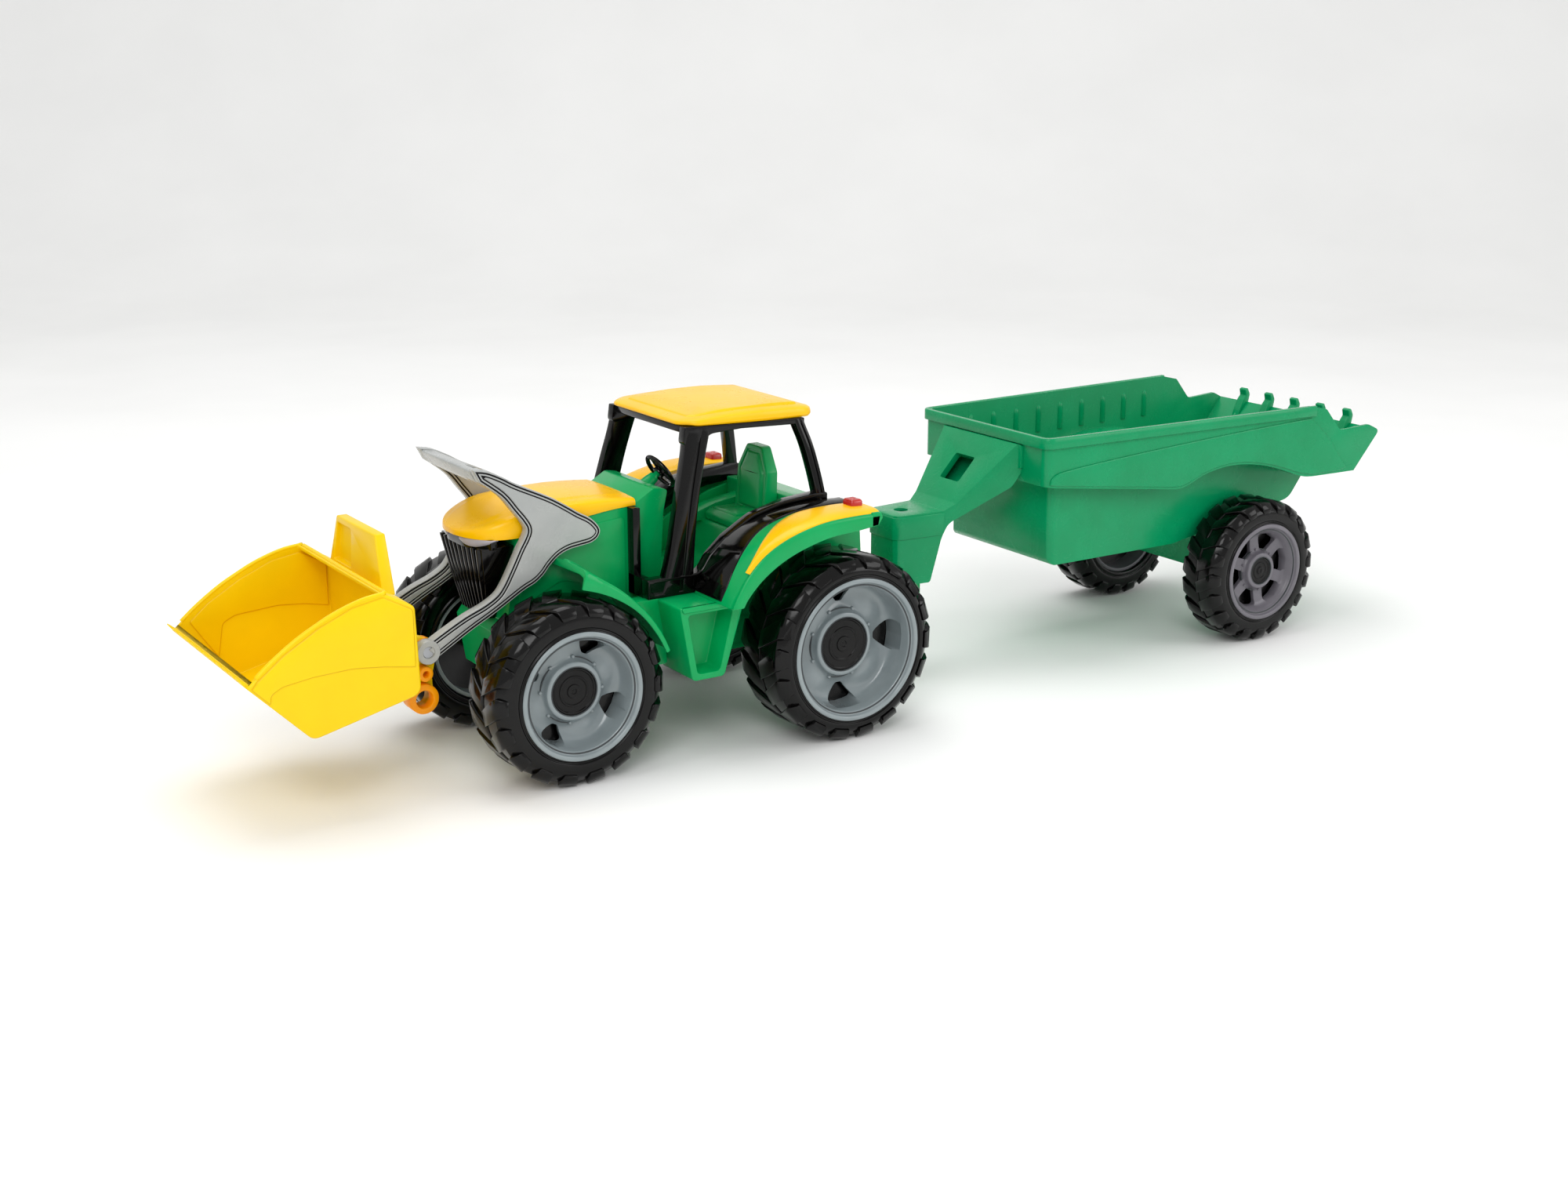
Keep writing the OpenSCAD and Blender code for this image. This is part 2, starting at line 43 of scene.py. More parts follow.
class G:
    """Vertices and faces of a piece, in millimetres, before it becomes a mesh."""

    def __init__(self, v=None, f=None, m=None):
        self.v = list(v or [])
        self.f = list(f or [])
        self.m = list(m) if m is not None else [0] * len(self.f)

    def add(self, other, mat=None):
        k = len(self.v)
        self.v += other.v
        self.f += [tuple(i + k for i in q) for q in other.f]
        self.m += [mat] * len(other.f) if mat is not None else other.m
        return self

    def mirrored(self):
        return G([(x, -y, z) for x, y, z in self.v], [tuple(reversed(q)) for q in self.f], self.m)

    def both(self):
        g = G(self.v, self.f, self.m)
        return g.add(self.mirrored())

    def moved(self, fn):
        return G([fn(p) for p in self.v], self.f, self.m)


def put(u, v, t, axis):
    return (u, t, v) if axis == "y" else ((u, v, t) if axis == "z" else (t, u, v))


def loft(rings, closed=False, caps=True, mats=None):
    n = len(rings[0])
    g = G()
    for r in rings:
        g.v += [tuple(p) for p in r]
    last = len(rings) if closed else len(rings) - 1
    for k in range(last):
        a, b = k * n, ((k + 1) % len(rings)) * n
        for i in range(n):
            j = (i + 1) % n
            g.f.append((a + i, a + j, b + j, b + i))
            g.m.append(mats[k] if mats else 0)
    if caps and not closed:
        g.f.append(tuple(range(n - 1, -1, -1)))
        g.m.append(0)
        g.f.append(tuple(range((len(rings) - 1) * n, len(rings) * n)))
        g.m.append(mats[-1] if mats else 0)
    return g


def prism(o, a, b, axis="y"):
    return loft([[put(p[0], p[1], a, axis) for p in o], [put(p[0], p[1], b, axis) for p in o]])


def box(x0, x1, y0, y1, z0, z1):
    return prism([(x0, y0), (x1, y0), (x1, y1), (x0, y1)], z0, z1, "z")


def rounded(poly, r, seg=5):
    """The outline with its corners rounded; r is one radius or one per corner, cut down where the sides are short."""
    n = len(poly)
    out = []
    for i in range(n):
        p, a, b = poly[i], poly[i - 1], poly[(i + 1) % n]
        rad = r[i] if isinstance(r, (list, tuple)) else r
        u = (a[0] - p[0], a[1] - p[1])
        w = (b[0] - p[0], b[1] - p[1])
        lu, lw = math.hypot(*u), math.hypot(*w)
        if rad <= 0 or lu < 1e-6 or lw < 1e-6:
            out.append(tuple(p))
            continue
        u, w = (u[0] / lu, u[1] / lu), (w[0] / lw, w[1] / lw)
        c = max(-1.0, min(1.0, u[0] * w[0] + u[1] * w[1]))
        ang = math.acos(c)
        if ang > math.pi - 0.02:
            out.append(tuple(p))
            continue
        t = min(rad / math.tan(ang / 2), 0.49 * lu, 0.49 * lw)
        a0 = (p[0] + u[0] * t, p[1] + u[1] * t)
        b0 = (p[0] + w[0] * t, p[1] + w[1] * t)
        k = max(2, min(seg, int(seg * (math.pi - ang) / 1.2) + 2))
        for s in range(k + 1):
            f = s / k
            # quadratic corner, close to an arc
            x = (1 - f) ** 2 * a0[0] + 2 * f * (1 - f) * p[0] + f * f * b0[0]
            y = (1 - f) ** 2 * a0[1] + 2 * f * (1 - f) * p[1] + f * f * b0[1]
            out.append((x, y))
    return out


def spline(pts, per=6):
    """A smooth open line through the points."""
    out = []
    n = len(pts)
    for i in range(n - 1):
        p0, p1, p2, p3 = pts[max(i - 1, 0)], pts[i], pts[i + 1], pts[min(i + 2, n - 1)]
        for s in range(per):
            t = s / per
            out.append(tuple(
                0.5 * (2 * p1[k] + (p2[k] - p0[k]) * t + (2 * p0[k] - 5 * p1[k] + 4 * p2[k] - p3[k]) * t * t
                       + (3 * p1[k] - p0[k] - 3 * p2[k] + p3[k]) * t ** 3) for k in range(len(p1))))
    out.append(tuple(pts[-1]))
    return out


def dense(poly, step):
    out = []
    n = len(poly)
    for i in range(n):
        a, b = poly[i], poly[(i + 1) % n]
        k = max(1, int(math.dist(a, b) / step))
        out += [(a[0] + (b[0] - a[0]) * s / k, a[1] + (b[1] - a[1]) * s / k) for s in range(k)]
    return out


def area(poly):
    return 0.5 * sum(poly[i - 1][0] * poly[i][1] - poly[i][0] * poly[i - 1][1] for i in range(len(poly)))


def seg_dist(q, a, b):
    dx, dy = b[0] - a[0], b[1] - a[1]
    l = dx * dx + dy * dy
    t = 0 if l == 0 else max(0, min(1, ((q[0] - a[0]) * dx + (q[1] - a[1]) * dy) / l))
    return math.hypot(q[0] - a[0] - t * dx, q[1] - a[1] - t * dy)


def inset(poly, d):
    """The outline moved inwards by d; points that would fold over are gathered on their neighbours."""
    n = len(poly)
    if abs(d) < 1e-9:
        return list(poly)
    sg = 1 if area(poly) > 0 else -1
    raw = []
    for i in range(n):
        a, p, b = poly[i - 1], poly[i], poly[(i + 1) % n]
        e1 = (p[0] - a[0], p[1] - a[1])
        e2 = (b[0] - p[0], b[1] - p[1])
        l1, l2 = math.hypot(*e1) or 1, math.hypot(*e2) or 1
        n1 = (-e1[1] / l1 * sg, e1[0] / l1 * sg)
        n2 = (-e2[1] / l2 * sg, e2[0] / l2 * sg)
        m = (n1[0] + n2[0], n1[1] + n2[1])
        lm = math.hypot(*m) or 1
        m = (m[0] / lm, m[1] / lm)
        c = max(0.45, m[0] * n1[0] + m[1] * n1[1])
        raw.append((p[0] + m[0] * d / c, p[1] + m[1] * d / c))
    if d < 0:
        return raw
    good = []
    for q in raw:
        near = min(seg_dist(q, poly[i - 1], poly[i]) for i in range(n))
        good.append(near > 0.97 * d)
    if not any(good):
        return raw
    out = []
    for i in range(n):
        if good[i]:
            out.append(raw[i])
            continue
        j = i
        while not good[j % n]:
            j += 1
        k = i
        while not good[k % n]:
            k -= 1
        a, b = raw[k % n], raw[j % n]
        out.append(((a[0] + b[0]) / 2, (a[1] + b[1]) / 2))
    return out


def relief(outline, rings, axis="y", mats=None):
    """A plate whose edge follows the outline, stepped inwards: rings are (inset, height)."""
    cache = {}
    loops = []
    for d, t in rings:
        if d not in cache:
            cache[d] = inset(outline, d)
        loops.append([put(p[0], p[1], t, axis) for p in cache[d]])
    return loft(loops, mats=mats)


def revolve(profile, n=96, mod=None, closed=True):
    """Profile of (r, s) turned round the s axis. Points are (r cos, r sin, s)."""
    g = G()
    m = len(profile)
    for k in range(n):
        a = 2 * math.pi * k / n
        for r, s in profile:
            if mod:
                s = mod(r, s, a)
            g.v.append((r * math.cos(a), r * math.sin(a), s))
    for k in range(n):
        a, b = k * m, ((k + 1) % n) * m
        for i in range(m if closed else m - 1):
            j = (i + 1) % m
            g.f.append((a + i, a + j, b + j, b + i))
            g.m.append(0)
    return g


def ring_of(cx, cz, r, n=24):
    return [(cx + r * math.cos(2 * math.pi * k / n), cz + r * math.sin(2 * math.pi * k / n)) for k in range(n)]


def tube(path, r, n=12):
    """Round bar along a path of 3-D points."""
    rings = []
    for i, p in enumerate(path):
        a = Vector(path[max(i - 1, 0)])
        b = Vector(path[min(i + 1, len(path) - 1)])
        d = (b - a).normalized()
        up = Vector((0, 1, 0)) if abs(d.y) < 0.9 else Vector((0, 0, 1))
        u = d.cross(up).normalized()
        v = d.cross(u)
        rings.append([tuple(Vector(p) + r * (u * math.cos(2 * math.pi * k / n) + v * math.sin(2 * math.pi * k / n))) for k in range(n)])
    return loft(rings)


# ------------------------------------------------------------------ materials


def lin(c):
    return tuple((x / 255 / 12.92 if x / 255 <= 0.04045 else ((x / 255 + 0.055) / 1.055) ** 2.4) for x in c) + (1.0,)


def plastic(name, a, b, rough, spread=0.06, scale=28, fine=700, bump=0.05, coat=0.0, ior=1.5, spec=0.5):
    """Moulded plastic: two close tints in soft clouds, faint handling marks in the sheen, a fine grain."""
    m = bpy.data.materials.new(name)
    m.use_nodes = True
    nt = m.node_tree
    bs = nt.nodes["Principled BSDF"]
    tc = nt.nodes.new("ShaderNodeTexCoord")
    n1 = nt.nodes.new("ShaderNodeTexNoise")
    n1.inputs["Scale"].default_value = scale
    n1.inputs["Detail"].default_value = 3
    n1.inputs["Roughness"].default_value = 0.55
    ramp = nt.nodes.new("ShaderNodeValToRGB")
    ramp.color_ramp.elements[0].position = 0.32
    ramp.color_ramp.elements[0].color = lin(a)
    ramp.color_ramp.elements[1].position = 0.72
    ramp.color_ramp.elements[1].color = lin(b)
    n2 = nt.nodes.new("ShaderNodeTexNoise")
    n2.inputs["Scale"].default_value = 55
    n2.inputs["Detail"].default_value = 6
    n2.inputs["Roughness"].default_value = 0.7
    n2.inputs["Distortion"].default_value = 0.6
    mr = nt.nodes.new("ShaderNodeMapRange")
    mr.inputs["From Min"].default_value = 0.3
    mr.inputs["From Max"].default_value = 0.75
    mr.inputs["To Min"].default_value = rough
    mr.inputs["To Max"].default_value = rough + spread
    n3 = nt.nodes.new("ShaderNodeTexNoise")
    n3.inputs["Scale"].default_value = fine
    n3.inputs["Detail"].default_value = 2
    bp = nt.nodes.new("ShaderNodeBump")
    bp.inputs["Strength"].default_value = bump
    bp.inputs["Distance"].default_value = 0.0004
    for n in (n1, n2, n3):
        nt.links.new(tc.outputs["Object"], n.inputs["Vector"])
    nt.links.new(n1.outputs["Fac"], ramp.inputs["Fac"])
    nt.links.new(ramp.outputs["Color"], bs.inputs["Base Color"])
    nt.links.new(n2.outputs["Fac"], mr.inputs["Value"])
    nt.links.new(mr.outputs["Result"], bs.inputs["Roughness"])
    nt.links.new(n3.outputs["Fac"], bp.inputs["Height"])
    nt.links.new(bp.outputs["Normal"], bs.inputs["Normal"])
    bs.inputs["IOR"].default_value = ior
    bs.inputs["Coat Weight"].default_value = coat
    bs.inputs["Specular IOR Level"].default_value = spec
    bs.inputs["Coat Roughness"].default_value = 0.12
    return m


MAT = {
    "green_body": plastic("green_plastic", (0, 154, 82), (0, 162, 89), 0.22, coat=0.06, spec=0.25),
    "trailer_green": plastic("trailer_green_plastic", (0, 140, 86), (0, 148, 93), 0.24, coat=0.06, spec=0.25),
    "yellow_trim": plastic("warm_yellow_plastic", (248, 188, 0), (253, 196, 2), 0.26, coat=0.06, spec=0.25),
    "bucket_yellow": plastic("bucket_yellow_plastic", (240, 202, 0), (246, 208, 0), 0.3, spec=0.25),
    "black_body": plastic("gloss_black_plastic", (2, 2, 2), (5, 4, 4), 0.08, spread=0.05, coat=0.22, spec=0.2),
    "tyre_black": plastic("tyre_black_plastic", (2, 2, 2), (5, 4, 4), 0.14, spread=0.07, coat=0.18, bump=0.06, spec=0.18),
    "rim_grey": plastic("rim_grey_plastic", (124, 134, 137), (138, 148, 150), 0.2, coat=0.25, spec=0.6),
    "trailer_rim_grey": plastic("trailer_rim_plastic", (98, 95, 102), (113, 110, 117), 0.32),
    "hubcap_dark": plastic("hubcap_dark_plastic", (12, 12, 12), (20, 19, 19), 0.3, spec=0.2),
    "loader_silver": plastic("loader_silver_plastic", (158, 161, 160), (172, 174, 172), 0.24, coat=0.15),
    "headlight_silver": plastic("headlight_silver_plastic", (150, 147, 160), (176, 172, 184), 0.2, coat=0.3),
    "lamp_red": plastic("lamp_red_plastic", (170, 22, 14), (190, 32, 20), 0.24, coat=0.3),
    "steel": plastic("zinc_plated_steel", (150, 152, 156), (178, 180, 184), 0.32, fine=1500),
}
MAT["steel"].node_tree.nodes["Principled BSDF"].inputs["Metallic"].default_value = 1.0
# dark plastic for the walls and floors of the grooves on the loader arms: painted shade in the grooves
GROOVE_PAINTED_SHADE = plastic("groove_painted_shade_plastic", (14, 13, 15), (24, 22, 24), 0.4, spec=0.2)
# darker yellow for the sides of the bucket's stepped panels: painted shade under the steps
STEP_PAINTED_SHADE = plastic("bucket_step_shade_plastic", (224, 180, 0), (230, 187, 0), 0.35, spec=0.2)
# dark grey for thin rings laid in the grooves of the rims: painted shade
RIM_GROOVE_SHADE = plastic("rim_groove_shade_plastic", (58, 62, 64), (72, 76, 78), 0.35, spec=0.3)
# orange, a darker copy of the bucket's yellow, for the hinge rings: painted shade
HINGE_PAINTED_SHADE = plastic("hinge_shaded_yellow_plastic", (246, 150, 0), (252, 160, 4), 0.3, spec=0.25)


# ------------------------------------------------------------------ making pieces


def raw(name, g):
    me = bpy.data.meshes.new(name)
    me.from_pydata([((x + SHIFT) / 1000, y / 1000, z / 1000) for x, y, z in g.v], [], g.f)
    me.polygons.foreach_set("material_index", g.m)
    bm = bmesh.new()
    bm.from_mesh(me)
    bmesh.ops.remove_doubles(bm, verts=bm.verts, dist=2e-6)
    bmesh.ops.dissolve_degenerate(bm, edges=bm.edges, dist=2e-6)
    bmesh.ops.recalc_face_normals(bm, faces=bm.faces)
    bm.to_mesh(me)
    bm.free()
    ob = bpy.data.objects.new(name, me)
    bpy.context.scene.collection.objects.link(ob)
    return ob


def make(name, g, body, slot, nodes=(), cuts=(), bevel=0.8, seg=3, angle=32, mats=None, sharp=38, subsurf=0, own=False):
    """One piece: cut, bevelled, shaded, placed on its body."""
    ob = raw(name, g)
    temp = []
    for k, c in enumerate(cuts):
        t = raw(f"{name}_cut{k}", c)
        temp.append(t)
        md = ob.modifiers.new(f"cut{k}", "BOOLEAN")
        md.operation = "DIFFERENCE"
        md.solver = "EXACT"
        md.object = t
        md.use_self = own
    if cuts:
        md = ob.modifiers.new("weld", "WELD")
        md.merge_threshold = 3e-6
    if bevel:
        md = ob.modifiers.new("bevel", "BEVEL")
        md.width = bevel / 1000
        md.segments = seg
        md.limit_method = "ANGLE"
        md.angle_limit = math.radians(angle)
        md.use_clamp_overlap = True
        md.miter_outer = "MITER_ARC"
    if subsurf:
        md = ob.modifiers.new("smooth", "SUBSURF")
        md.levels = md.render_levels = subsurf
    if ob.modifiers:
        bpy.context.view_layer.update()
        dg = bpy.context.evaluated_depsgraph_get()
        me = bpy.data.meshes.new_from_object(ob.evaluated_get(dg), preserve_all_data_layers=True, depsgraph=dg)
        old = ob.data
        ob.modifiers.clear()
        ob.data = me
        bpy.data.meshes.remove(old)
    for t in temp:
        me = t.data
        bpy.data.objects.remove(t)
        bpy.data.meshes.remove(me)
    ob.data.name = name
    ob.data.polygons.foreach_set("use_smooth", [True] * len(ob.data.polygons))
    ob.data.set_sharp_from_angle(angle=math.radians(sharp))
    which = [0] * len(ob.data.polygons)
    ob.data.polygons.foreach_get("material_index", which)
    ob.data.materials.clear()
    for m in mats or [MAT[slot]]:
        ob.data.materials.append(m)
    if mats and len(mats) > 1:
        ob.data.polygons.foreach_set("material_index", [min(w, len(mats) - 1) for w in which])
    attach(ob, body)
    if nodes:
        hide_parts(*nodes)
    return ob


# ------------------------------------------------------------------ wheels


def wheel_place(cx, cz, yc, side):
    return lambda p: (cx + p[0], side * (yc + p[2]), cz + p[1])


def tyre_geo(R, w, rb, n, lug, slant, s0, width_share, tail):
    h = w / 2
    rc = R - lug
    prof = [(rb, h - 5), (rb, h - 1.6), (rb + 1.0, h - 0.3), (rb + 2.6, h), (rb + 3.6, h - 0.2), (rb + 4.0, h - 1.0),
            (rb + 5.0, h - 1.0), (rb + 5.4, h - 0.2), (rb + 7.5, h), (R - 11, h - 0.2), (R - 9.0, h - 0.8), (R - 6.8, h - 2.6), (rc, h - 7.0), (rc + 0.4, 0)]
    prof = prof + [(r, -s) for r, s in reversed(prof[:-1])]
    # inner wall behind the spokes
    prof += [(rb, s0 - 9), (4, s0 - 9), (4, s0 - 7), (rb, s0 - 7)]
    g = revolve(prof, 108)
    wid = math.pi * 2 * R / n * width_share
    for sg in (1, -1):
        for i in range(n):
            a0 = 2 * math.pi * (i + (0.5 if sg > 0 else 0)) / n
            # (distance from the middle, base radius, top radius, share of width)
            st = [(-1.5, rc - 2, rc + 1.2, 0.9), (1.0, rc - 2, R - 0.5, 0.92), (h * 0.4, rc - 2, R, 1), (h - 8, rc - 2, R, 1.06), (h - 4.4, rc - 3.5, R - 0.8, 1.06),
                  (h - 1.8, R - 10, R - 3.2, 1.0), (h + 0.1, R - 11, R - 6.5, 0.94), (h + 0.5, R - tail + 2, R - 9.5, 0.86), (h + 0.4, R - tail - 1, R - tail, 0.72)]
            rings = []
            for k, (s, r0, r1, sh) in enumerate(st):
                da = math.tan(math.radians(slant)) * max(0, min(s, h - 4)) / R
                a = a0 + da
                half = wid * sh / 2 / R
                ins = 0.0
                sb = s
                if k == 5:
                    sb = s - 3
                if k >= 6:
                    sb = h - 3
                rings.append([(r0 * math.cos(a - half - ins), r0 * math.sin(a - half), sg * sb),
                              (r1 * math.cos(a - half * 0.86), r1 * math.sin(a - half * 0.86), sg * s),
                              (r1 * math.cos(a + half * 0.86), r1 * math.sin(a + half * 0.86), sg * s),
                              (r0 * math.cos(a + half), r0 * math.sin(a + half), sg * sb)])
            g.add(loft(rings))
    return g


def rim_geo(w, rb, s0, rc, n, turn, amp):
    h = w / 2
    front = [(rb - 0.2, h - 1), (rb + 2.2, h - 0.2), (rb + 2.6, h + 0.5), (rb + 2.3, h + 1.3), (rb + 1.5, h + 1.6), (rb - 0.2, h + 1.6), (rb - 0.9, h + 1.2),
             (rb - 1.3, h + 0.2), (rb - 1.6, h - 0.8), (rb - 2.2, h - 1.3), (rb - 3.2, h - 1.4), (rb - 3.9, h - 1.8), (rb - 4.3, h - 2.8)]
    wall = [(rb - 4.8, (h + s0) / 2 + 2), (rb - 5.6, s0 + 6.5), (rb - 6.6, s0 + 4.0), (rb - 8.2, s0 + 2.0), (rb - 10.5, s0 + 0.8), (rb - 13.5, s0 + 0.2)]
    k = max(2, int((rb - 14 - rc - 8) / 3))
    mid = [(rb - 14 - (rb - 14 - rc - 8) * i / k, s0 + 0.2 + 0.5 * (i / k) ** 2) for i in range(1, k + 1)]
    hub = [(rc + 6.4, s0 + 1.6), (rc + 5.2, s0 + 2.8), (rc + 4.5, s0 + 4.6), (rc + 4.2, s0 + 6.4), (rc + 3.6, s0 + 7.0), (rc + 1.0, s0 + 7.0), (rc + 0.3, s0 + 6.5),
           (rc + 0.1, s0 + 0.5), (4, s0 + 0.5), (2.65, s0 + 0.5)]
    back = [(2.65, -h + 1), (9, -h + 1), (9, s0 - 4.2), (rc + 6, s0 - 3.2), (rb - 12, s0 - 3.2), (rb - 8, s0 - 3.6), (rb - 4, s0 - 6.6), (rb - 3, s0 - 9), (rb - 3, -h + 3), (rb - 0.2, -h + 3)]
    lo, hi = rc + 5, rb - 6.5

    def mod(r, s, a):
        if lo < r < hi and abs(s - s0) < 6:
            f = math.sin(math.pi * (r - lo) / (hi - lo))
            return s - amp * f * math.cos(n * (a - turn))
        return s
    return revolve(front + wall + mid + hub + back, 144, mod)


def window(outline, ang, s0, r=3.0):
    c, s = math.cos(ang), math.sin(ang)
    o = rounded(outline, r, 6)
    return prism([(x * c - y * s, x * s + y * c) for x, y in o], s0 - 14, s0 + 14, "z")


def bolts(r, rb, s0, n, turn, height=1.5):
    g = G()
    for i in range(n):
        a = turn + 2 * math.pi * i / n
        cx, cy = r * math.cos(a), r * math.sin(a)
        g.add(loft([[(cx + q * math.cos(2 * math.pi * k / 12), cy + q * math.sin(2 * math.pi * k / 12), z) for k in range(12)]
                    for q, z in ((rb, s0 - 2), (rb, s0 + height - 0.5), (rb * 0.75, s0 + height))]))
    return g


def cap_geo(s0, rc):
    prof = [(0.001, s0 + 4.6), (rc - 2, s0 + 4.6), (rc - 2, s0 + 0.6), (rc - 0.1, s0 + 0.6), (rc - 0.1, s0 + 6.0), (rc - 0.6, s0 + 6.5), (rc - 1.6, s0 + 6.5),
            (rc - 2.2, s0 + 5.8), (rc * 0.66, s0 + 5.7), (rc * 0.64, s0 + 6.2), (rc * 0.58, s0 + 6.2), (rc * 0.56, s0 + 5.7), (rc * 0.3, s0 + 5.7),
            (rc * 0.28, s0 + 6.4), (rc * 0.12, s0 + 6.4), (rc * 0.1, s0 + 5.9), (0.001, s0 + 5.9)]
    return revolve(prof, 72)


def wheel(tag, body, cx, cz, yc, side, R, w, rb, s0, rc, n, win, turn_deg, lug_n, lug_h, slant, amp, share, tail):
    put_at = wheel_place(cx, cz, yc, side)
    # the right-hand wheels are the same moulding turned round, so their windows run the other way
    turn = math.radians(turn_deg)
    make(f"{tag}_tyre_skin", tyre_geo(R, w, rb, lug_n, lug_h, slant, s0, share, tail).moved(put_at), body, "tyre_black",
         [f"{tag}_tyre"], bevel=0.9, seg=2, angle=34, sharp=44)
    g = rim_geo(w, rb, s0, rc, n, turn, amp)
    # thin dark grey rings in the groove between the lips, round the hub and on the hub ring: painted shade in the
    # grooves
    dark = G()
    for ra_, rz_, sa_, sb_ in ((rb - 3.5, rb - 2.35, w / 2 - 2.6, w / 2 - 1.1), (rc + 6.3, rc + 7.3, s0 - 0.5, s0 + 1.3), (rc + 0.15, rc + 0.95, s0 + 5.5, s0 + 7.15)):
        dark.add(revolve([(ra_, sa_), (ra_, sb_), (rz_, sb_), (rz_, sa_)], 96))
    make(f"{tag}_rim_lines", dark.moved(put_at), body, "rim_grey" if n == 4 else "trailer_rim_grey", bevel=0, sharp=50, mats=[RIM_GROOVE_SHADE])
    cuts = [window(win, turn + 2 * math.pi * i / n, s0).moved(put_at) for i in range(n)]
    make(f"{tag}_rim_dish", g.moved(put_at), body, "rim_grey" if n == 4 else "trailer_rim_grey", [f"{tag}_rim"], cuts=cuts, bevel=0.7, seg=2, angle=50, sharp=50)
    nb = 8 if n == 4 else 6
    make(f"{tag}_rim_bolts", bolts(rc + 7.2, 1.5 if n == 4 else 1.1, s0 + 1.2, nb, turn + math.pi / nb).moved(put_at), body,
         "rim_grey" if n == 4 else "trailer_rim_grey", bevel=0, sharp=50)
    make(f"{tag}_hub_cover", cap_geo(s0, rc).moved(put_at), body, "hubcap_dark", [f"{tag}_hubcap"], bevel=0.25, seg=2, angle=40, sharp=50)


WIN_R = [(33, -2.6), (33, 2.6), (47.6, 14.4), (49.8, 0), (47.6, -14.4)]
WIN_F = [(28, -2.4), (28, 2.4), (39.4, 12.0), (41.4, 0), (39.4, -12.0)]
WIN_T = [(17.8, -4.0), (17.8, 4.0), (31, 12.2), (34.4, 0), (31, -12.2)]
for side, nm in ((1, "left"), (-1, "right")):
    wheel(f"rear_{nm}", f"rear_{nm}_wheel", 0, 73.5, 101, side, 73.5, 58, 54, 4, 21, 4, WIN_R, 0, 18, 2.4, 32, 2.6, 0.72, 9)
    wheel(f"front_{nm}", f"front_{nm}_wheel", 224, 69.5, 79, side, 69.5, 52, 46, 5, 18, 4, WIN_F, 27, 18, 2.6, 32, 2.2, 0.70, 10)
    wheel(f"trailer_{nm}", f"trailer_{nm}_wheel", -457, 64.5, 91, side, 64.5, 42, 41, 10, 12, 6, WIN_T, -10, 20, 2.4, 28, 0.8, 0.68, 11)

# ------------------------------------------------------------------ tractor body


def band(top, bot, section, y_shift=None):
    """A curved strip: top and bottom lines with the same number of points, and a cross-section of (y, k), k from 0 at the top line to 1 at the bottom one."""
    rings = []
    n = len(top)
    for i in range(n):
        t = i / (n - 1)
        sec = section(t) if callable(section) else section
        rings.append([(top[i][0] + (bot[i][0] - top[i][0]) * k, y, top[i][1] + (bot[i][1] - top[i][1]) * k) for y, k in sec])
    return loft(rings)


# hood: side panels with a soft shoulder, and the arch over the front wheel
hood_o = rounded([(143, 112), (143, 189), (182, 186), (216, 177.5), (240, 176.5), (252, 112)], [0, 0, 30, 30, 1, 1], 6)
hood = prism(hood_o, -40, 40)
# shallow raised panel on each side, following the outline
panel = rounded([(152, 118), (152, 181), (182, 178.5), (214, 170.5), (234, 169.5), (243, 122), (206, 139), (183, 132), (166, 118)], [2, 4, 20, 20, 3, 3, 12, 12, 6], 5)
hood.add(relief(dense(panel, 3), [(0, 39), (0, 40.3), (0.6, 40.8)]).both())
make("hood_side_panels", hood, "chassis", "green_body", ["hood_body"], bevel=1.0, seg=3)

top_f = spline([(238, 169.5), (226, 165.5), (212, 159.5), (199, 151), (186, 142), (173, 130.5), (163, 119.5), (155, 108), (150, 99), (146, 90)], 5)
bot_f = spline([(239, 151), (229, 149.5), (216, 146), (203, 141.5), (190, 135), (177, 126), (167.5, 116.5), (160, 106.5), (154.5, 97.5), (150, 88)], 5)


def fender_sec(t):
    thin = 0.34
    return [(40.5, 0.15), (55, 0.03), (60, 0.0), (62, -0.09), (66, -0.1), (68, 0.0), (84, 0.0), (93, 0.03), (96.5, 0.12), (98, 0.3), (98, 1.0), (96, 1.0), (95, thin + 0.1), (88, thin), (40.5, thin + 0.1)]


make("front_fenders", band(top_f[9:], bot_f[9:], fender_sec).both(), "chassis", "green_body", bevel=0.7, seg=2, angle=40)

# yellow cap with a crease and a soft nose
xs = [143, 146, 152, 160, 170, 182, 195, 207, 216, 226, 236, 244, 251, 257, 262, 266, 269, 271.5, 273.6, 275.2, 276.4, 277]
zt_l = spline([(143, 194.6), (152, 195.6), (160, 196.4), (178, 197.7), (195, 198.2), (216, 198.0), (234, 196.6), (248, 193.9), (260, 190.2), (269, 186.6), (277, 182.2)], 8)
zb_l = spline([(143, 188.6), (160, 187.8), (182, 185.4), (200, 181), (216, 177.6), (228, 176.6), (240, 176.2), (262, 176.2), (277, 177.0)], 8)


def at(line, x):
    for a, b in zip(line, line[1:]):
        if a[0] <= x <= b[0]:
            return a[1] + (b[1] - a[1]) * (x - a[0]) / max(1e-6, b[0] - a[0])
    return line[-1][1] if x > line[-1][0] else line[0][1]


